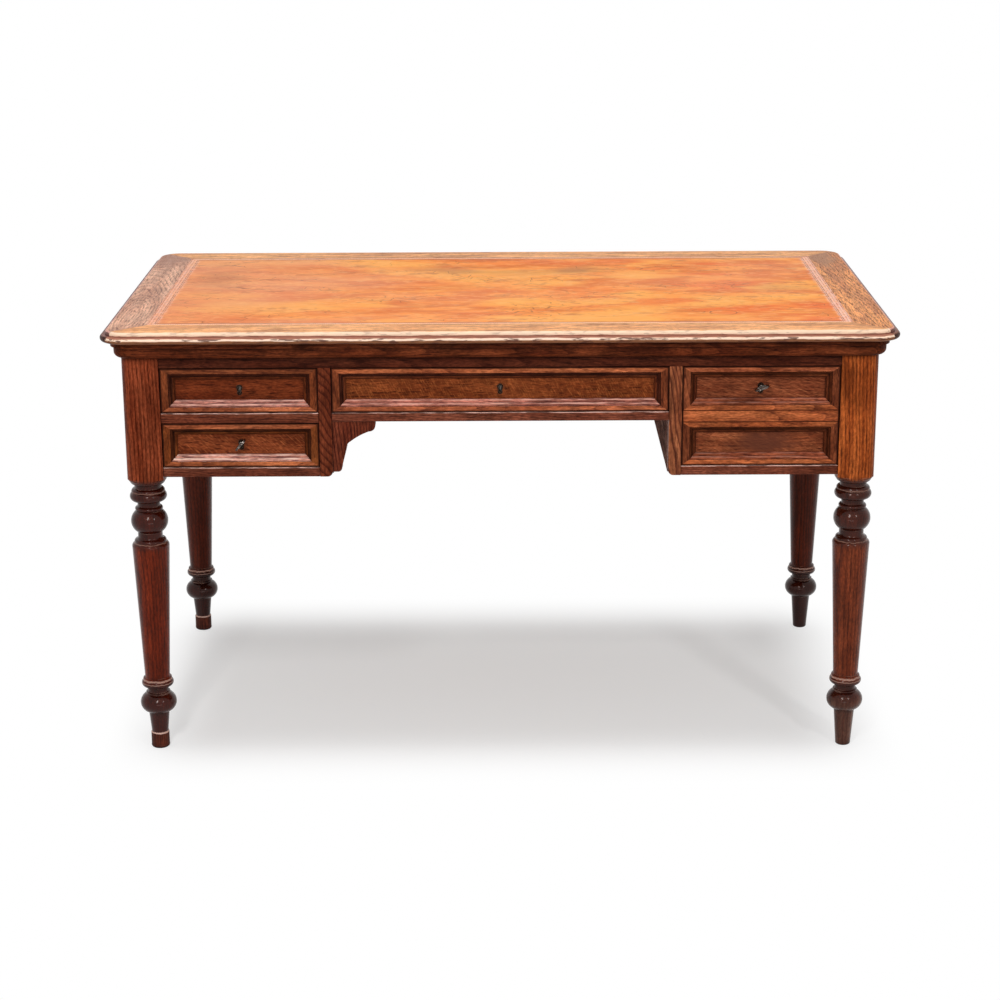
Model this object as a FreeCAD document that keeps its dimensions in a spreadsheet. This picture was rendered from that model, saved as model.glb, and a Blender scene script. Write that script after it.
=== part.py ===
import FreeCAD, Part

import math
import os

import Sketcher

# Writing desk with a leather top on four turned legs, and four framed drawers.
# X runs along the desk to the right, the front faces -Y, Z is up, and the origin is on the
# floor under the middle of the top. Lengths are millimetres.

document = FreeCAD.newDocument("WritingDesk")
Vector = FreeCAD.Vector
Y_AXIS = Vector(0, 1, 0)
Z_AXIS = Vector(0, 0, 1)

sizes = document.addObject("Spreadsheet::Sheet", "Sizes")
places = document.addObject("Spreadsheet::Sheet", "Places")


sizes_of_the_desk = {
    # Top
    "top_length": 1338,  # top from nose to nose along X
    "top_depth": 740,  # top from nose to nose along Y
    "top_height": 760,  # floor to the upper face of the top boards
    "top_thickness": 19,  # top boards
    "nose_thickness": 11,  # lower bead of the edge moulding
    "nose_round": 5.4,  # rounding of that bead
    "quirk_depth": 9,  # upper step in from the nose
    "step_round": 5,  # rounding of the upper step
    "top_corner": 45,  # rounded corner of the top in plan
    "end_board_width": 74,  # left and right boards of the top
    "long_board_width": 70,  # front and back boards of the top
    "leather_thickness": 1.2,  # leather
    "leather_drop": 0.4,  # leather below the boards round it

    # Moulding under the top
    "nose_overhang": 20.5,  # nose past the fascia of the moulding
    "cornice_height": 29,  # whole moulding under the top
    "cornice_out": 12,  # fascia past the posts
    "cornice_cap_height": 10,  # upper fillet of the moulding
    "cornice_cap_out": 5,  # upper fillet past the fascia
    "cornice_round": 9,  # rounding under the fascia

    # Posts and frame
    "post_width": 64,  # square post at the head of a leg
    "post_corner": 20,  # rounding of the outer corner of a post
    "post_arris": 2,  # softened other corners of a post
    "post_drop": 13,  # post below the apron
    "frame_setback": 1.5,  # rails and stiles behind the face of the posts
    "frame_thickness": 22,  # rails and stiles of the front and back
    "top_rail_height": 47.5,  # rail under the top
    "upper_opening": 78.5,  # height of the upper drawer openings
    "mid_rail": 17,  # rail between the left drawers
    "centre_rail": 15,  # rail under the centre drawer
    "lower_opening": 78,  # height of the lower left drawer opening
    "bottom_rail": 16,  # rail under the pedestals
    "kneehole_width": 569,  # between the stiles
    "stile_width": 21.5,  # stiles beside the kneehole
    "stile_round": 9,  # rounded lower corner of a stile
    "side_thickness": 16,  # kneehole sides and end panels
    "end_setback": 4,  # end panels behind the face of the posts
    "back_panel_thickness": 8,  # panels in the back frame
    "back_panel_setback": 6,  # those panels behind their frame
    "bracket_width": 73.5,  # knee bracket along X
    "bracket_height": 88,  # knee bracket along Z
    "bracket_thickness": 20,  # knee bracket
    "bracket_setback": 2,  # knee bracket behind the rail

    # Legs
    "bead_radius": 31.4,  # largest bead of the turned legs
    "shoulder_height": 5,  # rounded foot of a post, up to its flat faces
    "tip_height": 30,  # repair tips under the left feet
    "tip_radius": 15.9,  # repair tips
    "tip_round": 4,  # rounded lower edge of a foot
    "tip_shoulder": 4,  # height of the ring on a repair tip

    # Drawers
    "drawer_gap": 1.25,  # gap beside a drawer front
    "drawer_head_gap": 1.5,  # gap over and under a drawer front
    "front_setback": 2,  # drawer frames behind the rails
    "running_gap": 0.3,  # drawer sides over their runners, lock parts in their case
    "front_thickness": 14,  # front board behind the applied frame
    "drawer_back_gap": 66,  # behind the drawers, to the panels of the back
    "drawer_side": 10,  # drawer sides and backs
    "side_drop": 4,  # drawer sides below the top of the front
    "tail_length": 9,  # lapped dovetails in the front board
    "tail_count_low": 3,  # dovetails at a corner of a low drawer
    "tail_count_deep": 6,  # dovetails at a corner of the deep drawer
    "bottom_thickness": 6,  # drawer bottoms
    "bottom_rise": 8,  # drawer bottom over the lower edge of the sides
    "bottom_groove": 4.5,  # groove that holds the drawer bottom
    "runner_width": 20,  # runners and kickers
    "runner_height": 15,  # runners
    "guide_height": 12,  # guide strip on a runner
    "kicker_gap": 0.8,  # kickers over the drawer openings
    "kicker_height": 20,  # kickers

    # Applied frames on the drawer fronts
    "moulding_height": 10,  # applied frame in front of the panel
    "flat_side": 13,  # flat of the frame at its sides
    "flat_rail": 9,  # flat of the frame above and below
    "moulding_width": 11,  # moulded inner part of the frame

    # Locks and keys
    "key_drop": 36.5,  # keyhole below the top of the opening
    "keyhole_radius": 3,  # round part of the keyhole
    "keyhole_slot": 3.4,  # slot of the keyhole across
    "keyhole_length": 9.5,  # slot below the centre of the keyhole
    "plate_width": 10.5,  # keyhole plate along X
    "plate_height": 18,  # keyhole plate along Z
    "plate_thickness": 1.2,  # keyhole plate
    "plate_proud": 0.3,  # keyhole plate in front of the panel
    "lock_width": 56,  # lock case along X
    "lock_height": 51,  # lock case along Z
    "lock_depth": 8,  # lock case along Y
    "lock_wall": 1.2,  # sheet of the lock case
    "bolt_width": 30,  # lock bolt along X
    "bolt_leg": 5,  # bolt on each side of the key
    "bolt_bridge": 22,  # solid upper part of the bolt
    "bolt_tail": 12,  # bolt below the key
    "bolt_reach": 8,  # mortise for the bolt in the rail above
    "key_radius": 2.4,  # shank of a key
    "key_standout": 25,  # key in front of the panel
    "key_bow_length": 16,  # bow of a key along its shank
    "key_bow_width": 26,  # bow of a key across its shank
    "key_bow_bar": 4,  # bar of the bow
    "key_bow_thickness": 2.8,  # bow of a key
    "key_bit_radius": 8,  # reach of the bit from the axis
    "key_bit_thickness": 2,  # bit of a key
    "left_key_turn": 42,  # lower left key, degrees clockwise from upright
    "right_key_turn": 70,  # right key, degrees clockwise from upright
}

# Places worked out from the sizes
places_in_the_desk = {
    "top_x": "=Sizes.top_length / 2",  # half of the top along X
    "top_y": "=Sizes.top_depth / 2",  # half of the top along Y
    "leather_x": "=top_x - Sizes.end_board_width",  # edge of the leather
    "leather_y": "=top_y - Sizes.long_board_width",  # edge of the leather
    "top_under": "=Sizes.top_height - Sizes.top_thickness",  # underside of the top
    "fascia_x": "=top_x - Sizes.nose_overhang",  # face of the fascia
    "fascia_y": "=top_y - Sizes.nose_overhang",  # face of the fascia
    "post_x": "=fascia_x - Sizes.cornice_out",  # outer face of the posts
    "post_y": "=fascia_y - Sizes.cornice_out",  # outer face of the posts
    "post_inner_x": "=post_x - Sizes.post_width",  # inner face of the posts
    "post_inner_y": "=post_y - Sizes.post_width",  # inner face of the posts
    "leg_x": "=post_x - Sizes.post_width / 2",  # axis of the legs
    "leg_y": "=post_y - Sizes.post_width / 2",  # axis of the legs
    "cornice_under": "=top_under - Sizes.cornice_height",  # underside of the moulding
    "opening_head": "=top_under - Sizes.top_rail_height",  # top of the upper openings
    "mid_rail_top": "=opening_head - Sizes.upper_opening",  # floor of the upper openings
    "mid_rail_under": "=mid_rail_top - Sizes.mid_rail",  # top of the lower opening
    "bottom_rail_top": "=mid_rail_under - Sizes.lower_opening",  # floor of the lower openings
    "apron_under": "=bottom_rail_top - Sizes.bottom_rail",  # underside of the pedestals
    "turned_length": "=apron_under - Sizes.post_drop",  # turned part of a leg
    "centre_rail_under": "=mid_rail_top - Sizes.centre_rail",  # underside of the centre rail
    "stile_inner_x": "=Sizes.kneehole_width / 2",  # kneehole face of the stiles
    "stile_outer_x": "=stile_inner_x + Sizes.stile_width",  # drawer face of the stiles
    "kneehole_outer_x": "=stile_inner_x + Sizes.side_thickness",  # drawer face of the kneehole sides
    "frame_y": "=post_y - Sizes.frame_setback",  # face of the rails, off the middle
    "frame_rear_y": "=frame_y - Sizes.frame_thickness",  # inner face of the rails
    "drawer_face_y": "=frame_y - Sizes.front_setback",  # face of the applied frames
    "panel_y": "=drawer_face_y - Sizes.moulding_height",  # face of the drawer panels
    "front_rear_y": "=panel_y - Sizes.front_thickness",  # inner face of the drawer fronts
    "back_panel_y": "=frame_y - Sizes.back_panel_setback",  # outer face of the back panels
    "drawer_rear_y": "=back_panel_y - Sizes.back_panel_thickness - Sizes.drawer_back_gap",
    # key from its tip to the end of the bow
    "key_length": "=Sizes.key_standout + Sizes.front_thickness - Sizes.lock_wall"
                  " - 2 * Sizes.running_gap",
}


def fill_sheet(sheet, table):
    """Write a table to a sheet, one named cell a row."""
    for row, (alias, content) in enumerate(table.items(), start=1):
        sheet.set(f"A{row}", alias)
        sheet.set(f"B{row}", str(content))
        sheet.setAlias(f"B{row}", alias)


fill_sheet(sizes, sizes_of_the_desk)
fill_sheet(places, places_in_the_desk)
document.recompute()


def value(expression):
    """The number that an expression on the sheets gives."""
    result = sizes.evalExpression(expression)
    return float(getattr(result, "Value", result))


def seat(item, x="0", y="0", z="0", rotation=None):
    """Give a piece its place, bound to the sheets, and a fixed turn."""
    if rotation is not None:
        item.Placement = FreeCAD.Placement(Vector(), rotation)
    item.setExpression("Placement.Base.x", x)
    item.setExpression("Placement.Base.y", y)
    item.setExpression("Placement.Base.z", z)
    return item


def new_body(name):
    return document.addObject("PartDesign::Body", name)


def draw(body, name, plane, corners, offset=None):
    """Sketch a closed outline on an origin plane of the body.

    A corner is (x, y), reached by a line, or (x, y, through x, through y), reached by an
    arc. All are expressions.
    """
    sketch = body.newObject("Sketcher::SketchObject", name)
    origin_plane = [item for item in body.Origin.OriginFeatures if item.Role == plane][0]
    sketch.AttachmentSupport = [(origin_plane, "")]
    sketch.MapMode = "FlatFace"
    if offset is not None:
        sketch.setExpression("AttachmentOffset.Base.z", offset)
    points = [Vector(value(corner[0]), value(corner[1]), 0) for corner in corners]
    constraints = []
    bindings = []

    def pin(edge, vertex, x, y):
        """Hold a point at its two expressions, on the axis where one is zero."""
        for kind, axis, expression in (("DistanceX", -2, x), ("DistanceY", -1, y)):
            if expression == "0":
                constraints.append(Sketcher.Constraint("PointOnObject", edge, vertex, axis))
            else:
                bindings.append((len(constraints), expression))
                constraints.append(Sketcher.Constraint(kind, -1, 1, edge, vertex, value(expression)))

    ends = []
    for number, corner in enumerate(corners):
        start, end = points[number - 1], points[number]
        if len(corner) == 4:
            through = Vector(value(corner[2]), value(corner[3]), 0)
            edge = sketch.addGeometry(Part.Arc(start, through, end), False)
            point = sketch.addGeometry(Part.Point(through), True)
            pin(point, 1, corner[2], corner[3])
            constraints.append(Sketcher.Constraint("PointOnObject", point, 1, edge))
        else:
            edge = sketch.addGeometry(Part.LineSegment(start, end), False)
        vertex = sketch.getPoint(edge, 1)
        turned_round = vertex.distanceToPoint(end) < vertex.distanceToPoint(start)
        first, last = (2, 1) if turned_round else (1, 2)
        pin(edge, last, corner[0], corner[1])
        ends.append((edge, first, last))
    for number, (edge, first, last) in enumerate(ends):
        before, _, before_last = ends[number - 1]
        constraints.append(Sketcher.Constraint("Coincident", before, before_last, edge, first))
    sketch.addConstraint(constraints)
    for number, expression in bindings:
        sketch.setExpression(f"Constraints[{number}]", expression)
    return sketch


def rectangle(x0, y0, x1, y1):
    return [(x0, y0), (x1, y0), (x1, y1), (x0, y1)]


def pad(body, sketch, length, backward=False):
    feature = body.newObject("PartDesign::Pad", sketch.Name + "_pad")
    feature.Profile = sketch
    feature.setExpression("Length", length)
    feature.Reversed = backward
    body.Tip = feature
    return feature


def pocket(body, sketch, length, backward=False):
    feature = body.newObject("PartDesign::Pocket", sketch.Name + "_pocket")
    feature.Profile = sketch
    feature.setExpression("Length", length)
    feature.Reversed = backward
    body.Tip = feature
    return feature


def turn_on_lathe(body, sketch, axis):
    feature = body.newObject("PartDesign::Revolution", sketch.Name + "_turned")
    feature.Profile = sketch
    feature.ReferenceAxis = (sketch, [axis])
    feature.Angle = 360.0
    body.Tip = feature
    return feature


def groove_on_lathe(body, sketch, axis):
    """Turn away what a sketch sweeps round its axis."""
    feature = body.newObject("PartDesign::Groove", sketch.Name + "_grooved")
    feature.Profile = sketch
    feature.ReferenceAxis = (sketch, [axis])
    feature.Angle = 360.0
    body.Tip = feature
    return feature


def round_edges(body, name, feature, radius, wanted):
    """Round the edges of a feature whose lowest and highest points pass the test."""
    document.recompute()
    names = []
    for number, edge in enumerate(feature.Shape.Edges, start=1):
        if wanted(edge.BoundBox):
            names.append(f"Edge{number}")
    fillet = body.newObject("PartDesign::Fillet", name)
    fillet.Base = (feature, names)
    fillet.setExpression("Radius", radius)
    body.Tip = fillet
    return fillet


def lies_at(box, level):
    """Whether an edge's box is flat at a height."""
    return all(math.isclose(height, level, abs_tol=1e-4) for height in (box.ZMin, box.ZMax))


def board(name, x, y, z):
    """A plain board. Each of x, y and z is its low and high expression."""
    box = document.addObject("Part::Box", name)
    for side, (low, high) in zip(("Length", "Width", "Height"), (x, y, z)):
        box.setExpression(side, f"({high}) - ({low})")
    return seat(box, x[0], y[0], z[0])


def cut(name, base, tools):
    """Take the tools from the base one after another."""
    for number, tool in enumerate(tools, start=1):
        last = number == len(tools)
        result = document.addObject("Part::Cut", name if last else f"{name}_step_{number}")
        result.Base = base
        result.Tool = tool
        base = result
    return base


def group(name, members):
    """Like pieces of one kind, kept as separate solids under one name."""
    compound = document.addObject("Part::Compound", name)
    compound.Links = members
    return compound


def negative(expression):
    return f"-({expression})"


nodes = []


def keep(item):
    """Mark a piece as one of the desk's own."""
    nodes.append(item)
    return item


# Turned legs
# Height shares run over the turned length and radius shares over the largest bead. A bead
# or a hollow has two more shares, the height and radius of its middle.
turning_shares = [
    (0.1375, 0.575),
    (0.2077, 0.640, 0.1741, 1.005),
    (0.2087, 0.672),
    (0.2128, 0.672),
    (0.2149, 0.580),
    (0.2312, 0.580),
    (0.2342, 0.669),
    (0.2597, 0.796, 0.2495, 0.885),
    (0.2607, 0.758),
    (0.2689, 0.732, 0.2652, 0.796),
    (0.2709, 0.685),
    (0.7597, 1.016),
    (0.7749, 0.885, 0.7699, 0.985),
    (0.7759, 0.866),
    (0.7882, 0.796, 0.7821, 0.873),
    (0.7963, 0.672, 0.7908, 0.718),
    (0.8136, 0.672),
    (0.8157, 0.720),
    (0.8910, 0.720, 0.8544, 1.013),
    (0.8921, 0.690),
    (0.9063, 0.655, 0.8982, 0.758),
    (0.9084, 0.612),
    (0.9246, 0.618),
    (0.9267, 0.700),
    (0.9582, 0.905, 0.9470, 1.006),
    (0.9593, 0.885),
    (0.9613, 0.917),
    (0.9735, 0.770, 0.9688, 0.879),
    (0.9745, 0.735),
    (0.9888, 0.735),
    (0.9909, 0.882),
    (1.0, 0.973, 0.9955, 0.945),
]
FOOT_SHARE = 0.39
TIPPED_FOOT_SHARE = 0.46
QUARTER_SHARE = 1 - math.sqrt(0.5)
SHOULDER_BEND_SHARE = 0.4
SHOULDER_CORNER_SHARE = 2.8


def turned_profile(start, foot_radius, rounded):
    """Half outline of the turned part, from the axis at the foot to the post."""
    if rounded:
        flat = f"({foot_radius} - Sizes.tip_round / 2)"
        corners = [("0", start), (flat, start),
                   (foot_radius, f"{start} + Sizes.tip_round",
                    f"{foot_radius} - Sizes.tip_round * 0.5 * {QUARTER_SHARE}",
                    f"{start} + Sizes.tip_round * {QUARTER_SHARE}")]
    else:
        corners = [("0", start), (foot_radius, start)]
    for shares in turning_shares:
        corner = []
        for height_share, radius_share in zip(shares[0::2], shares[1::2]):
            corner.append(f"Sizes.bead_radius * {radius_share}")
            corner.append(f"Places.turned_length * {height_share}")
        corners.append(tuple(corner))
    corners.append(("0", "Places.turned_length"))
    return corners


def leg(name, x, y, turn, tipped):
    """One leg: the turned part and the square post, cut from one length of oak."""
    body = new_body(name)
    half = "Sizes.post_width / 2"
    arris = "Sizes.post_arris"
    corner = "Sizes.post_corner"
    post = draw(body, name + "_post", "XY_Plane", [
        (f"{half}", f"{half} - {arris}"),
        (f"{half} - {arris}", f"{half}",
         f"{half} - {arris} * {QUARTER_SHARE}", f"{half} - {arris} * {QUARTER_SHARE}"),
        (f"{arris} - {half}", f"{half}"),
        (f"-{half}", f"{half} - {arris}",
         f"{arris} * {QUARTER_SHARE} - {half}", f"{half} - {arris} * {QUARTER_SHARE}"),
        (f"-{half}", f"{corner} - {half}"),
        (f"{corner} - {half}", f"-{half}",
         f"{corner} * {QUARTER_SHARE} - {half}", f"{corner} * {QUARTER_SHARE} - {half}"),
        (f"{half} - {arris}", f"-{half}"),
        (f"{half}", f"{arris} - {half}",
         f"{half} - {arris} * {QUARTER_SHARE}", f"{arris} * {QUARTER_SHARE} - {half}"),
    ], offset="Places.turned_length")
    pad(body, post, "Places.top_under - Places.turned_length")
    turned = f"Sizes.bead_radius * {turning_shares[-1][1]}"
    low = "Places.turned_length"
    shoulder = draw(body, name + "_shoulder", "XZ_Plane", [
        (turned, f"{low} - {arris}"),
        (turned, low),
        (f"{half} + {arris} / 2", f"{low} + Sizes.shoulder_height",
         f"({turned} + {half} + {arris}) / 2", f"{low} + Sizes.shoulder_height * {SHOULDER_BEND_SHARE}"),
        ("Sizes.post_width", f"{low} + Sizes.shoulder_height * {SHOULDER_CORNER_SHARE}"),
        ("Sizes.post_width", f"{low} - {arris}"),
    ])
    groove_on_lathe(body, shoulder, "V_Axis")
    if tipped:
        corners = turned_profile("Sizes.tip_height", f"(Sizes.bead_radius * {TIPPED_FOOT_SHARE})", False)
    else:
        corners = turned_profile("0", f"(Sizes.bead_radius * {FOOT_SHARE} + Sizes.tip_round / 4)", True)
    turn_on_lathe(body, draw(body, name + "_profile", "XZ_Plane", corners), "V_Axis")
    return keep(seat(body, x, y, "0", FreeCAD.Rotation(Z_AXIS, turn)))


right_x = "Places.leg_x"
left_x = "-Places.leg_x"
leg("leg_front_left", left_x, "-Places.leg_y", 0, True)
leg("leg_front_right", right_x, "-Places.leg_y", 90, False)
leg("leg_back_right", right_x, "Places.leg_y", 180, False)
leg("leg_back_left", left_x, "Places.leg_y", 270, True)


def foot_tip(name, y):
    """A short turned piece let on under a worn left foot."""
    body = new_body(name)
    top = "Sizes.tip_height"
    ring = "Sizes.tip_height - Sizes.tip_shoulder"
    radius = "Sizes.tip_radius"
    corners = [
        ("0", "0"),
        (f"{radius} - Sizes.tip_round", "0"),
        (radius, "Sizes.tip_round * 1.5",
         f"{radius} - Sizes.tip_round * {QUARTER_SHARE}", f"Sizes.tip_round * {QUARTER_SHARE}"),
        (radius, ring),
        (f"{radius} - Sizes.tip_shoulder / 4", top, f"{radius}", f"{ring} + Sizes.tip_shoulder / 2"),
        ("0", top),
    ]
    turn_on_lathe(body, draw(body, name + "_profile", "XZ_Plane", corners), "V_Axis")
    return seat(body, left_x, y)


keep(group("foot_tips", [foot_tip("foot_tip_front", "-Places.leg_y"),
                         foot_tip("foot_tip_back", "Places.leg_y")]))


# Mitred boards of the top, and the mitred moulding under it
def rounded_rectangle(half_x, half_y, radius):
    """Outline about the origin with four equal round corners."""
    near_x = f"({half_x}) - ({radius})"
    near_y = f"({half_y}) - ({radius})"
    mid_x = f"({half_x}) - ({radius}) * {QUARTER_SHARE}"
    mid_y = f"({half_y}) - ({radius}) * {QUARTER_SHARE}"
    return [
        (half_x, negative(near_y), mid_x, negative(mid_y)),
        (half_x, near_y),
        (near_x, half_y, mid_x, mid_y),
        (negative(near_x), half_y),
        (negative(half_x), near_y, negative(mid_x), mid_y),
        (negative(half_x), negative(near_y)),
        (negative(near_x), negative(half_y), negative(mid_x), negative(mid_y)),
        (near_x, negative(half_y)),
    ]


def mitre_wedge(name, outer, inner, low, high, turn):
    """The share of a frame between two mitres. outer and inner are (half length, offset)."""
    wedge = document.addObject("Part::Wedge", name)
    half_outer, offset_outer = outer
    half_inner, offset_inner = inner
    for prefix, half in (("X", half_outer), ("X2", half_inner)):
        wedge.setExpression(prefix + "min", negative(half))
        wedge.setExpression(prefix + "max", half)
    wedge.setExpression("Ymin", negative(offset_outer))
    wedge.setExpression("Ymax", negative(offset_inner))
    for prefix in ("Z", "Z2"):
        wedge.setExpression(prefix + "min", low)
        wedge.setExpression(prefix + "max", high)
    return seat(wedge, rotation=FreeCAD.Rotation(Z_AXIS, turn))


def mitred_strips(names, ring, outer, inner, low, high):
    """Saw a ring into its front, right, back and left strips."""
    strips = []
    for number, name in enumerate(names):
        far, close = (outer, inner) if number % 2 == 0 else (outer[::-1], inner[::-1])
        wedge = mitre_wedge(name + "_mitre", far, close, low, high, 90 * number)
        strip = document.addObject("Part::Common", name)
        strip.Base = ring
        strip.Tool = wedge
        strips.append(strip)
    return strips


def top_ring():
    """The moulded edge of the top as one ring, before it is mitred."""
    body = new_body("top_ring")
    lower = pad(body, draw(body, "top_nose", "XY_Plane", rounded_rectangle(
        "Places.top_x", "Places.top_y", "Sizes.top_corner"), offset="Places.top_under"),
        "Sizes.nose_thickness")
    levels = (value("Places.top_under"), value("Places.top_under + Sizes.nose_thickness"))
    round_edges(body, "top_nose_round", lower, "Sizes.nose_round",
                lambda box: any(lies_at(box, level) for level in levels))
    step = "Sizes.quirk_depth"
    upper = pad(body, draw(body, "top_step", "XY_Plane", rounded_rectangle(
        f"Places.top_x - {step}", f"Places.top_y - {step}", f"Sizes.top_corner - {step}"),
        offset="Places.top_under + Sizes.nose_thickness"),
        "Sizes.top_thickness - Sizes.nose_thickness")
    height = value("Sizes.top_height")
    round_edges(body, "top_step_round", upper, "Sizes.step_round",
                lambda box: lies_at(box, height))
    window = draw(body, "top_window", "XY_Plane", rectangle(
        "-Places.leather_x", "-Places.leather_y", "Places.leather_x", "Places.leather_y"),
        offset="Sizes.top_height")
    pocket(body, window, "Sizes.top_thickness")
    return body


def cornice_ring():
    """The moulding under the top as one ring, before it is mitred."""
    body = new_body("cornice_ring")
    corner = "Sizes.post_corner + Sizes.cornice_out"
    lower = pad(body, draw(body, "cornice_fascia", "XY_Plane", rounded_rectangle(
        "Places.fascia_x", "Places.fascia_y", corner), offset="Places.cornice_under"),
        "Sizes.cornice_height")
    low = value("Places.cornice_under")
    round_edges(body, "cornice_round", lower, "Sizes.cornice_round",
                lambda box: lies_at(box, low))
    cap = "Sizes.cornice_cap_out"
    pad(body, draw(body, "cornice_cap", "XY_Plane", rounded_rectangle(
        f"Places.fascia_x + {cap}", f"Places.fascia_y + {cap}", f"{corner} + {cap}"),
        offset="Places.top_under - Sizes.cornice_cap_height"), "Sizes.cornice_cap_height")
    window = draw(body, "cornice_window", "XY_Plane", rounded_rectangle(
        "Places.post_x", "Places.post_y", "Sizes.post_corner"), offset="Places.top_under")
    pocket(body, window, "Sizes.cornice_height")
    return body


for strip in mitred_strips(
        ["top_front_rail", "top_right_end", "top_back_rail", "top_left_end"], top_ring(),
        ("Places.top_x", "Places.top_y"), ("Places.leather_x", "Places.leather_y"),
        "Places.top_under", "Sizes.top_height"):
    keep(strip)
cap_reach = "Sizes.cornice_out + Sizes.cornice_cap_out"
keep(group("cornice_moulding", mitred_strips(
    ["cornice_front", "cornice_right", "cornice_back", "cornice_left"], cornice_ring(),
    (f"Places.post_x + {cap_reach}", f"Places.post_y + {cap_reach}"),
    ("Places.post_x - Sizes.post_corner", "Places.post_y - Sizes.post_corner"),
    "Places.cornice_under", "Places.top_under")))

leather_y = ("-Places.leather_y", "Places.leather_y")
leather_x = ("-Places.leather_x", "Places.leather_x")
core_top = "Sizes.top_height - Sizes.leather_drop - Sizes.leather_thickness"
keep(board("top_core_panel", leather_x, leather_y, ("Places.top_under", core_top)))
keep(board("leather_writing_surface", leather_x, leather_y,
           (core_top, "Sizes.top_height - Sizes.leather_drop")))


# Openings of the four drawers, each with its low and high X and Z and its tail count
openings = {
    "left_upper": ("-Places.post_inner_x", "-Places.stile_outer_x",
                   "Places.mid_rail_top", "Places.opening_head", "tail_count_low"),
    "left_lower": ("-Places.post_inner_x", "-Places.stile_outer_x",
                   "Places.bottom_rail_top", "Places.mid_rail_under", "tail_count_low"),
    "centre": ("-Places.stile_inner_x", "Places.stile_inner_x",
               "Places.mid_rail_top", "Places.opening_head", "tail_count_low"),
    "right": ("Places.stile_outer_x", "Places.post_inner_x",
              "Places.bottom_rail_top", "Places.opening_head", "tail_count_deep"),
}


def middle(low, high):
    return f"(({low}) + ({high})) / 2"


def bolt_mortise(drawer):
    """The slot in the rail over a drawer that its bolt enters."""
    low_x, high_x, _, head, _ = openings[drawer]
    centre = middle(low_x, high_x)
    half = "(Sizes.bolt_width / 2 + Sizes.running_gap)"
    case_rear = "-Places.front_rear_y"
    return board(drawer + "_bolt_mortise", (f"{centre} - {half}", f"{centre} + {half}"),
                 (f"{case_rear} - Sizes.lock_depth", case_rear),
                 (head, f"{head} + Sizes.bolt_reach"))


# Front frame
front_frame = ("-Places.frame_y", "-Places.frame_rear_y")
between_posts = ("-Places.post_inner_x", "Places.post_inner_x")
left_bay = ("-Places.post_inner_x", "-Places.stile_outer_x")
right_bay = ("Places.stile_outer_x", "Places.post_inner_x")
centre_bay = ("-Places.stile_inner_x", "Places.stile_inner_x")
head_span = ("Places.opening_head", "Places.top_under")
foot_span = ("Places.apron_under", "Places.bottom_rail_top")
knee_span = ("Places.centre_rail_under", "Places.mid_rail_top")
keep(cut("front_top_rail", board("front_top_rail_blank", between_posts, front_frame, head_span),
         [bolt_mortise(drawer) for drawer in ("left_upper", "centre", "right")]))
keep(cut("left_mid_rail",
         board("left_mid_rail_blank", left_bay, front_frame,
               ("Places.mid_rail_under", "Places.mid_rail_top")),
         [bolt_mortise("left_lower")]))
keep(board("centre_rail", centre_bay, front_frame, knee_span))
keep(group("pedestal_bottom_rails", [
    board("left_bottom_rail", left_bay, front_frame, foot_span),
    board("right_bottom_rail", right_bay, front_frame, foot_span)]))


def stile(name, x, y, turn):
    """A stile beside the kneehole, its lower kneehole corner rounded."""
    body = new_body(name)
    radius = "Sizes.stile_round"
    outline = draw(body, name + "_outline", "XZ_Plane", [
        ("Sizes.stile_width", "0"),
        ("Sizes.stile_width", "Places.opening_head - Places.apron_under"),
        ("0", "Places.opening_head - Places.apron_under"),
        ("0", radius),
        (radius, "0", f"{radius} * {QUARTER_SHARE}", f"{radius} * {QUARTER_SHARE}"),
    ])
    pad(body, outline, "Sizes.frame_thickness", backward=True)
    return seat(body, x, y, "Places.apron_under", FreeCAD.Rotation(Z_AXIS, turn))


keep(group("front_stiles", [
    stile("front_stile_left", "-Places.stile_inner_x", "-Places.frame_rear_y", 180),
    stile("front_stile_right", "Places.stile_inner_x", "-Places.frame_y", 0)]))

# Knee bracket, on the left only. Its shares run over its width and its height.
bracket = new_body("knee_bracket")
bracket_shares = [
    (0.0, 0.0),
    (0.11, 0.0),
    (0.216, 0.09, 0.19, 0.024),
    (0.333, 0.466),
    (0.415, 0.60, 0.353, 0.55),
    (0.85, 0.80, 0.64, 0.722),
    (1.0, 0.91, 0.965, 0.84),
    (1.0, 1.0),
    (0.0, 1.0),
]
bracket_corners = []
for shares in bracket_shares:
    corner = []
    for x_share, z_share in zip(shares[0::2], shares[1::2]):
        corner.append(f"Sizes.bracket_width * {x_share}" if x_share else "0")
        corner.append(f"Sizes.bracket_height * {z_share}" if z_share else "0")
    bracket_corners.append(tuple(corner))
pad(bracket, draw(bracket, "bracket_outline", "XZ_Plane", bracket_corners),
    "Sizes.bracket_thickness", backward=True)
keep(seat(bracket, "-Places.stile_inner_x", "Sizes.bracket_setback - Places.frame_y",
          "Places.centre_rail_under - Sizes.bracket_height"))

# Kneehole sides, end panels and back
inside_y = ("-Places.frame_rear_y", "Places.frame_rear_y")
side_span = ("Places.apron_under", "Places.top_under")
for name, x in (
        ("kneehole_side_left", ("-Places.kneehole_outer_x", "-Places.stile_inner_x")),
        ("kneehole_side_right", ("Places.stile_inner_x", "Places.kneehole_outer_x"))):
    keep(board(name, x, inside_y, side_span))
end_face = "Places.post_x - Sizes.end_setback"
end_rear = f"{end_face} - Sizes.side_thickness"
between_legs_y = ("-Places.post_inner_y", "Places.post_inner_y")
keep(board("end_panel_left", (negative(end_face), negative(end_rear)), between_legs_y, side_span))
keep(board("end_panel_right", (end_rear, end_face), between_legs_y, side_span))

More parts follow.
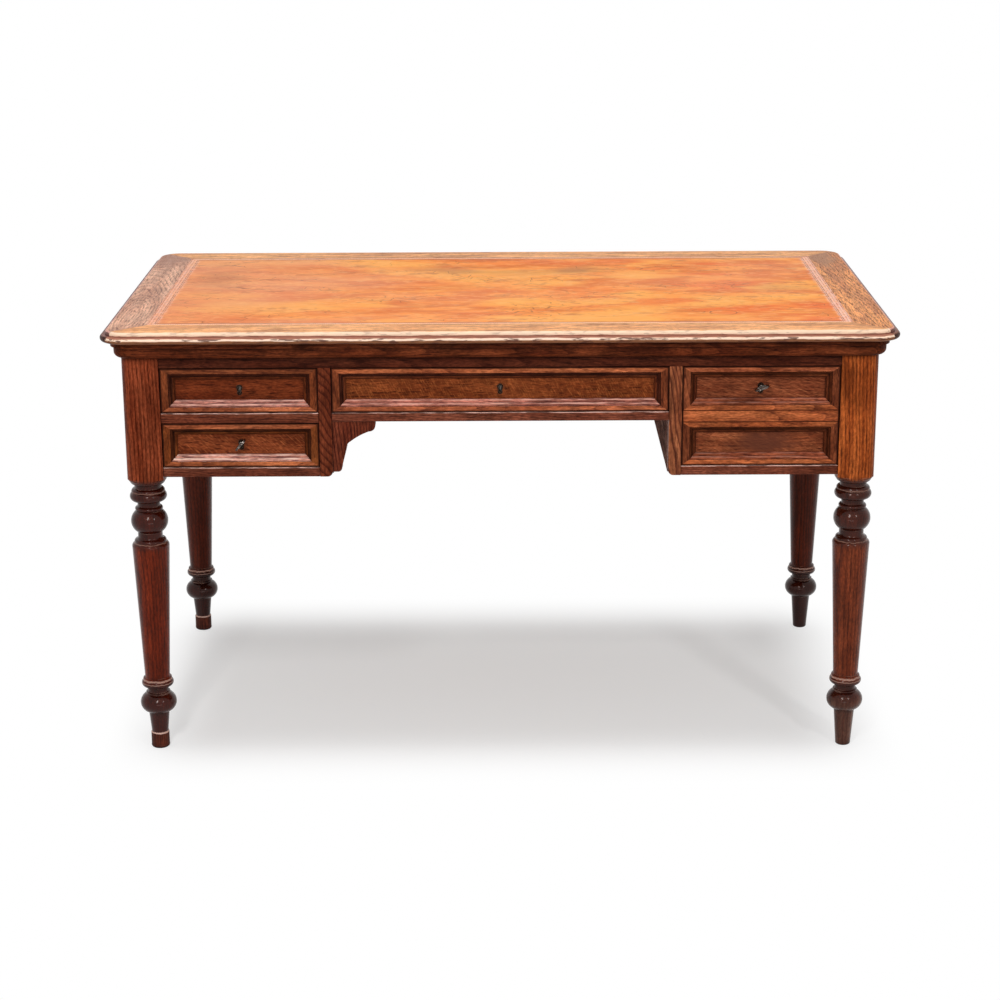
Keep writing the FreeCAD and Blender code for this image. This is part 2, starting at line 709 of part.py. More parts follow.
back_y = ("Places.frame_rear_y", "Places.frame_y")
stile_span = ("Places.apron_under", "Places.opening_head")
keep(group("back_frame", [
    board("back_top_rail", between_posts, back_y, head_span),
    board("back_stile_left", ("-Places.stile_outer_x", "-Places.stile_inner_x"), back_y, stile_span),
    board("back_stile_right", ("Places.stile_inner_x", "Places.stile_outer_x"), back_y, stile_span),
    board("back_bottom_left", left_bay, back_y, foot_span),
    board("back_bottom_right", right_bay, back_y, foot_span),
    board("back_centre_rail", centre_bay, back_y, knee_span)]))
panel_y = ("Places.back_panel_y - Sizes.back_panel_thickness", "Places.back_panel_y")
pedestal_span = ("Places.bottom_rail_top", "Places.opening_head")
upper_span = ("Places.mid_rail_top", "Places.opening_head")
keep(group("back_panels", [
    board("back_panel_left", left_bay, panel_y, pedestal_span),
    board("back_panel_right", right_bay, panel_y, pedestal_span),
    board("back_panel_centre", centre_bay, panel_y, upper_span)]))

# Runners with their guides under the drawers, and kickers over them
runners = []
kickers = []
for drawer, (low_x, high_x, floor, head, _) in openings.items():
    spans = []
    for x, sign in ((low_x, "+"), (high_x, "-")):
        against_side = x.endswith("stile_outer_x")
        toward = "+" if x.startswith("-") else "-"
        wall = f"{x} {toward} (Sizes.stile_width - Sizes.side_thickness)" if against_side else x
        span = [wall, f"{wall} {sign} Sizes.runner_width"]
        guide = [wall, x]
        if sign == "-":
            span.reverse()
            guide.reverse()
        runners.append(board(f"{drawer}_runner_{len(spans) + 1}", span, inside_y,
                             (f"{floor} - Sizes.runner_height", floor)))
        if against_side:
            runners.append(board(f"{drawer}_guide", guide, inside_y,
                                 (floor, f"{floor} + Sizes.guide_height")))
        if drawer != "left_lower":
            low = f"{head} + Sizes.kicker_gap"
            kickers.append(board(f"{drawer}_kicker_{len(spans) + 1}", span, inside_y,
                                 (low, f"{low} + Sizes.kicker_height")))
        spans.append(span)
keep(group("drawer_runners", runners))
keep(group("drawer_kickers", kickers))


# Applied frames. A strip runs along its local X, with its outer edge at local zero height
# and its moulding towards local +Z.
# Width shares run over the moulded part and depth shares over the height of the frame.
moulding_shares = [
    (0.0, 1.0),
    (0.0, 0.86),
    (0.44, 0.50, 0.30, 0.78),
    (0.44, 0.44),
    (0.62, 0.40),
    (0.93, 0.14, 0.84, 0.32),
    (1.0, 0.12),
]


def moulded_strip(name, run, flat, end_flat):
    """One strip: its mitred outline, then the moulding planed along its inner edge."""
    body = new_body(name)
    width = "Sizes.moulding_width"
    far = f"{run} - ({end_flat})"
    outline = draw(body, name + "_outline", "XZ_Plane", [
        ("0", "0"),
        (run, "0"),
        (far, flat),
        (f"{far} - {width}", f"{flat} + {width}"),
        (f"{end_flat} + {width}", f"{flat} + {width}"),
        (end_flat, flat),
    ])
    pad(body, outline, "Sizes.moulding_height", backward=True)
    corners = []
    for shares in moulding_shares:
        corner = []
        for width_share, depth_share in zip(shares[0::2], shares[1::2]):
            corner.append(f"Sizes.moulding_height * {1 - depth_share:.3f}" if depth_share < 1 else "0")
            corner.append(f"{flat} + {width} * {width_share}")
        corners.append(tuple(corner))
    clear = "Sizes.moulding_height"
    corners.append((f"Sizes.moulding_height * {1 - moulding_shares[-1][1]:.3f}", f"{flat} + 2 * {width}"))
    corners.append((f"-{clear}", f"{flat} + 2 * {width}"))
    corners.append((f"-{clear}", flat))
    pocket(body, draw(body, name + "_moulding", "YZ_Plane", corners), run, backward=True)
    return body


def applied_frame(name, x0, x1, z0, z1):
    """Four mitred strips round one panel, lower, right, upper and left."""
    y = "-Places.drawer_face_y"
    across = f"({x1}) - ({x0})"
    upright = f"({z1}) - ({z0})"
    flat_rail = "Sizes.flat_rail"
    flat_side = "Sizes.flat_side"
    table = [
        ("lower", across, flat_rail, flat_side, x0, z0, 0),
        ("right", upright, flat_side, flat_rail, x1, z0, -90),
        ("upper", across, flat_rail, flat_side, x1, z1, 180),
        ("left", upright, flat_side, flat_rail, x0, z1, 90),
    ]
    strips = []
    for side, run, flat, end_flat, x, z, turn in table:
        strip = moulded_strip(f"{name}_{side}", run, flat, end_flat)
        strips.append(seat(strip, x, y, z, FreeCAD.Rotation(Y_AXIS, turn)))
    return strips


def keyhole_outline(x, z):
    """Round hole over a slot."""
    half = "Sizes.keyhole_slot / 2"
    shoulder = f"sqrt(Sizes.keyhole_radius ^ 2 - ({half}) ^ 2)"
    return [
        (f"{x} + {half}", f"{z} - Sizes.keyhole_length"),
        (f"{x} + {half}", f"{z} - {shoulder}"),
        (f"{x} - {half}", f"{z} - {shoulder}", x, f"{z} + Sizes.keyhole_radius"),
        (f"{x} - {half}", f"{z} - Sizes.keyhole_length"),
    ]


# Lower half of the keyhole plate: shares of its half width and of its height below the keyhole
PLATE_NECK_SHARE = 0.62
PLATE_SIDE_SHARE = 0.5


def plate_outline(x, z):
    """Pear-shaped plate: a round head over a rounded tail."""
    half = "Sizes.plate_width / 2"
    tail = f"(Sizes.plate_height - {half})"
    neck = f"{half} * {PLATE_NECK_SHARE}"
    side = f"{z} - {tail} * {PLATE_SIDE_SHARE}"
    return [
        (f"{x} + {half}", z),
        (f"{x} - {half}", z, x, f"{z} + {half}"),
        (f"{x} - {neck}", side),
        (f"{x} + {neck}", side, x, f"{z} - {tail}"),
    ]


def dovetailed_side(name, x, z, height, count):
    """One drawer side, with lapped tails in front and through tails behind."""
    body = new_body(name)
    length = "(Places.drawer_rear_y + Places.front_rear_y)"
    root_share = 0.25
    tip_share = 0.36
    front = []
    rear = []
    for number in range(count):
        share = (number + 0.5) / count
        for edge_share, reach in ((-root_share, None), (-tip_share, "tip"),
                                  (tip_share, "tip"), (root_share, None)):
            level = f"({height}) * {share + edge_share / count:.5f}"
            front.append((negative("Sizes.tail_length") if reach else "0", level))
            rear.append((length if reach else f"{length} - Sizes.drawer_side", level))
    corners = [("0", "0"), (f"{length} - Sizes.drawer_side", "0")] + rear
    corners += [(f"{length} - Sizes.drawer_side", height), ("0", height)] + front[::-1]
    pad(body, draw(body, name + "_outline", "YZ_Plane", corners), "Sizes.drawer_side")
    return seat(body, x, "-Places.front_rear_y", z)


def lock_case(name, x, z):
    """Sheet metal box with a keyhole in front and a slot for the bolt on top."""
    body = new_body(name)
    half = "Sizes.lock_width / 2"
    wall = "Sizes.lock_wall"
    case = draw(body, name + "_outline", "XZ_Plane", rectangle(
        f"-{half}", "-Sizes.lock_height", half, "0"))
    pad(body, case, "Sizes.lock_depth", backward=True)
    inside = draw(body, name + "_inside", "XZ_Plane", rectangle(
        f"{wall} - {half}", f"{wall} - Sizes.lock_height", f"{half} - {wall}", f"-{wall}"),
        offset=f"-{wall}")
    pocket(body, inside, f"Sizes.lock_depth - 2 * {wall}")
    slot_half = "Sizes.bolt_width / 2 + Sizes.running_gap"
    slot = draw(body, name + "_slot", "XZ_Plane", rectangle(
        f"-({slot_half})", f"-2 * {wall}", slot_half, "0"), offset=f"-{wall}")
    pocket(body, slot, f"Sizes.lock_depth - 2 * {wall}")
    drop = "(Sizes.key_drop - Sizes.drawer_head_gap)"
    hole = draw(body, name + "_keyhole", "XZ_Plane", keyhole_outline("0", f"-{drop}"))
    pocket(body, hole, wall)
    return seat(body, x, "-Places.front_rear_y - Sizes.lock_depth", z)


def lock_bolt(name, x, z):
    """Forked bolt that straddles the key and slides up out of the case."""
    body = new_body(name)
    half = "Sizes.bolt_width / 2"
    leg_inner = f"({half} - Sizes.bolt_leg)"
    foot = "-(Sizes.key_drop - Sizes.drawer_head_gap + Sizes.bolt_tail)"
    top = "-Sizes.running_gap"
    outline = draw(body, name + "_outline", "XZ_Plane", [
        (f"-{half}", foot),
        (f"-{leg_inner}", foot),
        (f"-{leg_inner}", "-Sizes.bolt_bridge"),
        (leg_inner, "-Sizes.bolt_bridge"),
        (leg_inner, foot),
        (half, foot),
        (half, top),
        (f"-{half}", top),
    ])
    gap = "Sizes.running_gap"
    pad(body, outline, f"Sizes.lock_depth - 2 * Sizes.lock_wall - 2 * {gap}", backward=True)
    return seat(body, x, f"-Places.front_rear_y - Sizes.lock_depth + Sizes.lock_wall + {gap}", z)


def drawer(name, low_x, high_x, floor, head, tails, panels):
    """All the pieces of one drawer, in its opening."""
    x0 = f"({low_x} + Sizes.drawer_gap)"
    x1 = f"({high_x} - Sizes.drawer_gap)"
    z0 = f"({floor} + Sizes.drawer_head_gap)"
    z1 = f"({head} - Sizes.drawer_head_gap)"
    key_x = middle(low_x, high_x)
    key_z = f"({head} - Sizes.key_drop)"
    side_low = f"{floor} + Sizes.running_gap"
    side_height = f"{z1} - Sizes.side_drop - ({side_low})"
    count = int(value("Sizes." + tails))
    sides = [
        dovetailed_side(name + "_side_left", x0, side_low, side_height, count),
        dovetailed_side(name + "_side_right", f"{x1} - Sizes.drawer_side", side_low, side_height, count)]
    bottom_low = f"{side_low} + Sizes.bottom_rise"
    groove = "Sizes.bottom_groove"
    inner = f"Sizes.drawer_side - {groove}"
    bottom = keep(board(
        name + "_drawer_bottom", (f"{x0} + {inner}", f"{x1} - ({inner})"),
        (f"-Places.front_rear_y - {groove}", "Places.drawer_rear_y"),
        (bottom_low, f"{bottom_low} + Sizes.bottom_thickness")))

    case = lock_case(name + "_lock_case", key_x, z1)
    case_space = board(name + "_lock_recess",
                       (f"{key_x} - Sizes.lock_width / 2", f"{key_x} + Sizes.lock_width / 2"),
                       ("-Places.front_rear_y - Sizes.lock_depth", "-Places.front_rear_y"),
                       (f"{z1} - Sizes.lock_height", z1))
    plate = new_body(name + "_plate_blank")
    pad(plate, draw(plate, name + "_plate_outline", "XZ_Plane", plate_outline("0", "0")),
        "Sizes.plate_thickness", backward=True)
    seat(plate, key_x, "-Places.panel_y - Sizes.plate_proud", key_z)
    hole = new_body(name + "_keyhole")
    pad(hole, draw(hole, name + "_keyhole_outline", "XZ_Plane", keyhole_outline("0", "0")),
        "Sizes.front_thickness + Sizes.plate_thickness", backward=True)
    seat(hole, key_x, "-Places.panel_y - Sizes.plate_thickness", key_z)

    blank = board(name + "_front_blank", (x0, x1), ("-Places.panel_y", "-Places.front_rear_y"), (z0, z1))
    keep(cut(name + "_drawer_front", blank, sides + [bottom, case_space, plate, hole]))
    keep(group(name + "_drawer_sides", [
        cut(name + "_grooved_left", sides[0], [bottom]),
        cut(name + "_grooved_right", sides[1], [bottom])]))
    back = board(name + "_back_blank", (x0, x1),
                 ("Places.drawer_rear_y - Sizes.drawer_side", "Places.drawer_rear_y"),
                 (f"{bottom_low} + Sizes.bottom_thickness", f"{side_low} + {side_height}"))
    keep(cut(name + "_drawer_back", back, sides))

    strips = []
    for number, (panel_low, panel_high) in enumerate(panels, start=1):
        strips += applied_frame(f"{name}_frame_{number}", x0, x1, panel_low, panel_high)
    if len(panels) > 1:
        strips.append(board(name + "_frame_rail", (x0, x1), ("-Places.drawer_face_y", "-Places.panel_y"),
                            (panels[1][1], panels[0][0])))
    keep(group(name + "_front_frame", strips))
    keep(cut(name + "_keyhole_plate", plate, [hole]))
    keep(case)
    keep(lock_bolt(name + "_lock_bolt", key_x, z1))


def key(name, drawer_name, turn):
    """Key with a flat oval bow, left in its lock."""
    low_x, high_x, _, head, _ = openings[drawer_name]
    body = new_body(name)
    bow_start = "(Places.key_length - Sizes.key_bow_length)"
    collar = "Sizes.key_radius * 1.5"
    shank = draw(body, name + "_shank", "XY_Plane", [
        ("0", "0"),
        ("Sizes.key_radius", "0"),
        ("Sizes.key_radius", f"{bow_start} - Sizes.key_bow_bar"),
        ("Sizes.key_radius", bow_start, collar, f"{bow_start} - Sizes.key_bow_bar / 2"),
        ("Sizes.key_radius", f"{bow_start} + Sizes.key_bow_bar / 2"),
        ("0", f"{bow_start} + Sizes.key_bow_bar / 2"),
    ])
    turn_on_lathe(body, shank, "V_Axis")
    centre = f"(Places.key_length - Sizes.key_bow_length / 2)"
    thick = "Sizes.key_bow_thickness"

    def oval(half_length, half_width):
        """Oval about the middle of the bow, in the YZ plane."""
        diagonal_share = 0.78
        ends = []
        for y_sign, z_sign in ((1, 0), (0, 1), (-1, 0), (0, -1)):
            z = f"({half_width}) * {z_sign}" if z_sign else "0"
            ends.append((f"{centre} + ({half_length}) * {y_sign}", z))
        corners = []
        for number, (y, z) in enumerate(ends):
            y_sign = (1, 1, -1, -1)[number]
            z_sign = (-1, 1, 1, -1)[number]
            corners.append((y, z, f"{centre} + ({half_length}) * {y_sign * diagonal_share}",
                            f"({half_width}) * {z_sign * diagonal_share}"))
        return corners

    half_length = "Sizes.key_bow_length / 2"
    half_width = "Sizes.key_bow_width / 2"
    bow = draw(body, name + "_bow", "YZ_Plane", oval(half_length, half_width), offset=f"-{thick} / 2")
    pad(body, bow, thick)
    eye = draw(body, name + "_eye", "YZ_Plane", oval(
        f"{half_length} - Sizes.key_bow_bar", f"{half_width} - Sizes.key_bow_bar"), offset=f"-{thick} / 2")
    pocket(body, eye, thick, backward=True)
    bit_thick = "Sizes.key_bit_thickness"
    bit = draw(body, name + "_bit", "YZ_Plane", rectangle(
        "0", "-Sizes.key_bit_radius", "Sizes.lock_depth / 2", "0"), offset=f"-{bit_thick} / 2")
    pad(body, bit, bit_thick)
    rotation = FreeCAD.Rotation(Y_AXIS, value(turn)).multiply(FreeCAD.Rotation(Z_AXIS, 180))
    tip = "-Places.front_rear_y - Sizes.lock_wall - Sizes.running_gap * 2"
    keep(seat(body, middle(low_x, high_x), tip, f"{head} - Sizes.key_drop", rotation))


gap = "Sizes.drawer_head_gap"
upper_panel = (f"(Places.mid_rail_top + {gap})", f"(Places.opening_head - {gap})")
lower_panel = (f"(Places.bottom_rail_top + {gap})", f"(Places.mid_rail_under - {gap})")
panels_of = {
    "left_upper": [upper_panel],
    "left_lower": [lower_panel],
    "centre": [upper_panel],
    "right": [upper_panel, lower_panel],
}
for name, (low_x, high_x, floor, head, tails) in openings.items():
    drawer(name, low_x, high_x, floor, head, tails, panels_of[name])
key("left_lower_key", "left_lower", "Sizes.left_key_turn")
key("right_key", "right", "Sizes.right_key_turn")

document.recompute()
for item in document.Objects:
    if "Invalid" in item.State or "Error" in item.State:
        raise RuntimeError(f"{item.Name} failed: {item.State}")
for node in nodes:
    if node.Shape.isNull() or not node.Shape.isValid():
        raise RuntimeError(f"{node.Label} has no valid shape")

os.makedirs("parts", exist_ok=True)
for node in nodes:
    node.Shape.exportStep(f"parts/{node.Label}.step")
print(len(nodes), "pieces written")
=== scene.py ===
import math
import random

import bmesh
import bpy
import numpy as np
from mathutils import Matrix, Vector, noise


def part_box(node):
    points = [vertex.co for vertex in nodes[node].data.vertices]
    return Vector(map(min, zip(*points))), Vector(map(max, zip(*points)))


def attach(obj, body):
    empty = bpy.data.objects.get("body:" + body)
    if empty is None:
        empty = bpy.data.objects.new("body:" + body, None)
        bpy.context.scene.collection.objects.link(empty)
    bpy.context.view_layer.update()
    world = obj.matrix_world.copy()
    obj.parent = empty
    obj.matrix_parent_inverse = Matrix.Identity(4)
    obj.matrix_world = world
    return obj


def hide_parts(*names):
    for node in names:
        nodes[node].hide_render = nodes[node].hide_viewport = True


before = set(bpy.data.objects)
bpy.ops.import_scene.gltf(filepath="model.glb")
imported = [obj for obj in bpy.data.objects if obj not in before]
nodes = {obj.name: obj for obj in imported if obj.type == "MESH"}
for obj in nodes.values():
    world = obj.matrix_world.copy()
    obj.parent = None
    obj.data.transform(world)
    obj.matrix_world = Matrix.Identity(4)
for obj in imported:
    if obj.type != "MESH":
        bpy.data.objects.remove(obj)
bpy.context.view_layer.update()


# The legs and their posts.
# Each is one length of oak, 64 mm square at the top with its outer corner rounded off, then turned
# down to beads, a bulb and a long taper. The two left feet end in newer turned tips.

def put(tree, kind, sockets, **settings):
    """Adds one shader or geometry node, and fills its sockets with values or other nodes' outputs."""
    node = tree.nodes.new(kind)
    for name, value in settings.items():
        setattr(node, name, value)
    for name, value in sockets.items():
        socket = node.inputs[name]
        if isinstance(value, bpy.types.NodeSocket):
            tree.links.new(value, socket)
        elif socket.type == "RGBA" and len(value) == 3:
            socket.default_value = (*value, 1.0)
        else:
            socket.default_value = value
    return node


def calc(tree, operation, *terms):
    """A sum worked out at each point of the surface."""
    return put(tree, "ShaderNodeMath", dict(enumerate(terms)), operation=operation).outputs[0]


def product(tree, first, *others):
    for other in others:
        first = calc(tree, "MULTIPLY", first, other)
    return first


def vector(tree, operation, *terms, output=0):
    """The same for a place, a direction or a colour. Output 1 is the plain number, as for a length."""
    return put(tree, "ShaderNodeVectorMath", dict(enumerate(terms)), operation=operation).outputs[output]


def scaled(tree, first, share):
    return put(tree, "ShaderNodeVectorMath", {0: first, "Scale": share}, operation="SCALE").outputs[0]


def between(tree, value, low, high, start=0.0, end=1.0):
    """Runs smoothly from start to end while the value goes from low to high."""
    return put(tree, "ShaderNodeMapRange", {0: value, 1: low, 2: high, 3: start, 4: end},
               interpolation_type="SMOOTHSTEP").outputs[0]


def tint(tree, share, first, second):
    """The first colour going over to the second one by that share."""
    return put(tree, "ShaderNodeMix", {0: share, 6: first, 7: second}, data_type="RGBA").outputs[2]


def cloud(tree, place, per_metre, detail=2.0, output=0):
    """Random lumps, so many to the metre in each direction."""
    stretched = vector(tree, "MULTIPLY", place, per_metre)
    return put(tree, "ShaderNodeTexNoise", {"Vector": stretched, "Scale": 1.0,
                                            "Detail": detail}).outputs[output]


def patches(tree, place, per_metre, detail, low, high, start=0.0, end=1.0):
    """Lumps with a clearer edge: start where the cloud is under the low level, end over the high one."""
    return between(tree, cloud(tree, place, per_metre, detail), low, high, start, end)


def own_place(tree):
    return put(tree, "ShaderNodeTexCoord", {}).outputs["Object"]


def split(tree, place):
    return put(tree, "ShaderNodeSeparateXYZ", {0: place}).outputs


def reaches_off(tree, place, spot, reach):
    """How far a place is from a spot, counted in reaches in each direction."""
    away = vector(tree, "SUBTRACT", place, spot)
    return vector(tree, "LENGTH", vector(tree, "MULTIPLY", away, tuple(1 / r for r in reach)), output=1)


def arris_share(tree, radius, low=0.02, high=0.2):
    """How near a point is to an edge that hands have rubbed; a dark tone there is also painted shade at
    gaps.
    """
    soft = put(tree, "ShaderNodeBevel", {"Radius": radius}, samples=4).outputs[0]
    flat = put(tree, "ShaderNodeNewGeometry", {}).outputs["True Normal"]
    meet = vector(tree, "DOT_PRODUCT", soft, flat, output=1)
    return between(tree, calc(tree, "SUBTRACT", 1.0, meet), low, high)


def corner_shade_and_dust(tree, reach):
    """How far a point lies in a corner or a gap: painted shade there, with the old wax and dust that stay.
    """
    open_air = put(tree, "ShaderNodeAmbientOcclusion", {"Distance": reach}, samples=4).outputs["AO"]
    return between(tree, open_air, 0.95, 0.35)


def new_finish(name):
    finish = bpy.data.materials.new(name)
    finish.use_nodes = True
    return finish, finish.node_tree, finish.node_tree.nodes["Principled BSDF"]


def add_relief(tree, shader, height, strength, distance):
    bump = put(tree, "ShaderNodeBump", {"Strength": strength, "Distance": distance, "Height": height})
    tree.links.new(bump.outputs[0], shader.inputs["Normal"])


def shaded(tone, red, green, blue):
    return tone[0] * red, tone[1] * green, tone[2] * blue


TABLE_TOP = 0.76
POST_FOOT, UPPER_RINGS, LOWER_RINGS, SHANK = (0.488, 0.500), (0.365, 0.385), (0.135, 0.120), (0.100, 0.080)
PALE_SHARE = 1.5, 1.75, 1.9
WAX_ROUGHNESS, POST_ROUGHNESS, RING_POLISH, PORE_DEPTH = 0.13, 0.42, 0.32, 0.0005
CHIP_BROWN, GAP_SHADOW = (0.12, 0.045, 0.03), (0.022, 0.005, 0.003)


def worn_and_lit_bands(tree, colour, where, height, level, lips):
    """Bands between two heights, each in its own colour to its share, with a ragged edge: rubbed wood,
    and painted highlight and painted shade on rounded noses and rings.
    """
    ragged = calc(tree, "MULTIPLY_ADD", cloud(tree, where, (34, 150, 150), 4), 0.0034,
                  calc(tree, "SUBTRACT", height, 0.0017))
    upright = between(tree, level, 0.995, 0.96)
    for top, bottom, share, shade in lips:
        band = product(tree, between(tree, ragged, top + 0.0004, top - 0.0004),
                       between(tree, ragged, bottom - 0.0004, bottom + 0.0004, 0.0, share))
        if top == TABLE_TOP:
            band = product(tree, upright, band)
        colour = tint(tree, band, colour, shade)
    if lips[0][0] == TABLE_TOP:
        lower_step = product(tree, upright, between(tree, ragged, 0.7530, 0.7490, 0.35, 1.0))
        chips = patches(tree, where, (48, 260, 260), 6, 0.52, 0.62, 0.0, 0.9)
        colour = tint(tree, product(tree, lower_step, chips), colour, CHIP_BROWN)
    return colour


def oak(name, tone, worn, ring=0.0042, heart=(0.01, 0.05), lean=(0.03, 0.04), sway=0.012, figure=0.6,
        pores=0.8, rays=0.0, ray_turn=0.9, ray_size=(60, 600, 300), blotch=0.35, speckle=0.26, wear=0.3,
        shelf=0.0, shelf_tone=None, hollow_shade=0.0, shade_and_dust_strength=1.0, dirt_reach=0.012, rough=0.42, sheen=0.03,
        sheen_tint=(1, 1, 1), polish=0.0, lips=None, seams=(), rim=None, centre=None, post=None, foot=None,
        smoke=None):
    """Waxed oak of that mean tone. Its rings run round a heart that lies beside the board. Corners and gaps
    are darkened as painted shade along with dust; the arguments add painted shade on turned-down faces,
    painted shadow along a frame's rim, painted highlight on upturned faces, and painted bands on noses and
    rings.
    """
    pale, dark, pore = (shaded(tone, *PALE_SHARE), shaded(tone, 0.40, 0.34, 0.45),
                        shaded(tone, 0.20, 0.18, 0.30))
    finish, tree, shader = new_finish(name)
    if centre is None:
        grain = put(tree, "ShaderNodeAttribute", {}, attribute_name="grain").outputs["Vector"]
        board = put(tree, "ShaderNodeAttribute", {}, attribute_name="board").outputs["Fac"]
    else:
        x, y, z = split(tree, own_place(tree))
        grain = put(tree, "ShaderNodeCombineXYZ", {0: z, 1: calc(tree, "SUBTRACT", x, centre[0]),
                                                   2: calc(tree, "SUBTRACT", y, centre[1])}).outputs[0]
        board = 0.5 + 0.3 * math.sin(7 * centre[0] + 3 * centre[1])
    where = vector(tree, "ADD", grain, scaled(tree, (7.3, 3.1, 5.7), board))

    drift = vector(tree, "SUBTRACT", cloud(tree, where, (5, 16, 16), 2.5, 1), (0.5, 0.5, 0.5))
    bent = vector(tree, "MULTIPLY_ADD", drift, (0, 2 * sway, 2 * sway), grain)
    along, across, through = split(tree, bent)
    spread = calc(tree, "MULTIPLY_ADD", board, 0.03, heart[0] - 0.015)
    side = calc(tree, "ADD", calc(tree, "MULTIPLY_ADD", along, lean[0], across), spread)
    deep = calc(tree, "ADD", calc(tree, "MULTIPLY_ADD", along, lean[1], through), heart[1])
    from_heart = put(tree, "ShaderNodeCombineXYZ", {1: side, 2: deep}).outputs[0]
    radius = vector(tree, "LENGTH", from_heart, output=1)
    year = calc(tree, "FRACT", calc(tree, "DIVIDE", radius, ring))
    early = between(tree, year, 0.05, 0.6, 1.0, 0.0)

    mean = tone
    if post:
        on_rings = calc(tree, "MAXIMUM", between(tree, z, *UPPER_RINGS), between(tree, z, *LOWER_RINGS))
        on_shank, on_post = between(tree, z, *SHANK), between(tree, z, *POST_FOOT)
        # The bead and bulb rings are painted far darker than the taper: a painted dark reflection on the
        # polished turning.
        mean = tint(tree, on_rings, mean, shaded(tone, 0.12, 0.1, 0.15))
        mean = tint(tree, on_post, tint(tree, on_shank, mean, foot), post)
        pale = tint(tree, on_rings, pale, shaded(tone, 0.35, 0.30, 0.35))
        pale = tint(tree, on_post, tint(tree, on_shank, pale, shaded(foot, 2.2, 2.6, 2.8)),
                    shaded(post, *PALE_SHARE))
    colour = tint(tree, patches(tree, where, (7, 55, 55), 4, 0.35, 0.68), mean, pale)
    colour = tint(tree, product(tree, early, figure), colour, dark)
    streaks = patches(tree, where, (14, 300, 300), 3, 0.38, 0.68)
    colour = tint(tree, product(tree, streaks, 0.55 * figure), colour, dark)
    fine = patches(tree, where, (75, 1000, 1000), 1, 0.52, 0.64)
    coarse = patches(tree, where, (38, 420, 420), 1, 0.55, 0.66)
    hollow = product(tree, calc(tree, "MAXIMUM", fine, coarse), calc(tree, "MULTIPLY_ADD", early, 0.5, 0.5))
    colour = tint(tree, product(tree, hollow, pores), colour, pore)
    if rays:
        turned = put(tree, "ShaderNodeMapping", {"Vector": where, "Rotation": (0, 0, ray_turn)}).outputs[0]
        fleck = patches(tree, turned, ray_size, 1, 0.52, 0.66)
        crowd = patches(tree, where, (14, 30, 30), 1, 0.3, 0.6, 0.55, 1.0)
        colour = tint(tree, product(tree, fleck, crowd, rays), colour, shaded(tone, 2.4, 3.3, 3.5))
    level = product(tree, patches(tree, where, (16, 45, 45), 4, 0.25, 0.75, 1 - blotch, 1 + blotch),
                    calc(tree, "MULTIPLY_ADD", board, 0.3, 0.85),
                    patches(tree, where, (150, 460, 460), 3, 0.32, 0.68, 1 - speckle, 1 + speckle))
    colour = scaled(tree, colour, level)
    # A darker patch round a spot, where one is given.
    if smoke:
        spot, reach, patch_tone = smoke
        far = calc(tree, "ADD", product(tree, cloud(tree, where, (30, 60, 60), 3), 0.9),
                   reaches_off(tree, own_place(tree), spot, reach))
        colour = tint(tree, between(tree, far, 1.4, 0.7, 0.0, 0.85), colour, patch_tone)

    facing = split(tree, put(tree, "ShaderNodeNewGeometry", {}).outputs["Normal"])
    # Corners and gaps are darkened: painted shade, along with old wax and dust.
    dirt = product(tree, corner_shade_and_dust(tree, dirt_reach), shade_and_dust_strength)
    # Faces turned down or aside from the front are darkened as painted shade.
    if hollow_shade:
        slope = product(tree, between(tree, facing["Y"], -0.97, -0.75),
                        between(tree, facing["Z"], 0.4, 0.0))
        dirt = calc(tree, "MAXIMUM", dirt, product(tree, slope, hollow_shade))
    colour = tint(tree, dirt, colour, shaded(tone, 0.14, 0.12, 0.2))
    # Arrises go over to the arris tone: rubbed wood, and in the dark tone also painted shade along the
    # gaps.
    rubbed = product(tree, arris_share(tree, 0.0022),
                     patches(tree, where, (30, 45, 45), 3, 0.38, 0.62), wear)
    colour = tint(tree, rubbed, colour, worn)
    if rim or seams or lips:
        sideways, _, height = split(tree, own_place(tree))
    # A dark line round a frame's outer edge: painted shadow in the gap round the drawer.
    if rim:
        left, right, bottom, top = rim
        inside = [calc(tree, "SUBTRACT", sideways, left), calc(tree, "SUBTRACT", right, sideways),
                  calc(tree, "SUBTRACT", height, bottom), calc(tree, "SUBTRACT", top, height)]
        nearest = calc(tree, "MINIMUM", calc(tree, "MINIMUM", *inside[:2]),
                       calc(tree, "MINIMUM", *inside[2:]))
        edge = between(tree, nearest, 0.0026, 0.0012, 0.0, 0.85)
        colour = tint(tree, edge, colour, GAP_SHADOW)
    for seam in seams:
        off = calc(tree, "ABSOLUTE", calc(tree, "SUBTRACT", height, seam))
        line = between(tree, off, 0.0013, 0.0004, 0.0, 0.9)
        colour = tint(tree, line, colour, shaded(tone, 0.10, 0.08, 0.12))
    if lips:
        colour = worn_and_lit_bands(tree, colour, where, height, facing["Z"], lips)
    # Faces turned half up are lightened in scuffed patches: bare worn wood, and painted highlight.
    if shelf:
        scuffed = patches(tree, where, (38, 260, 260), 6, 0.40, 0.58, 0.12, 1.0)
        lit_and_scuffed = product(tree, between(tree, facing["Z"], 0.3, 0.75), product(tree, scuffed, shelf))
        colour = tint(tree, lit_and_scuffed, colour, shelf_tone)
    tree.links.new(colour, shader.inputs["Base Color"])

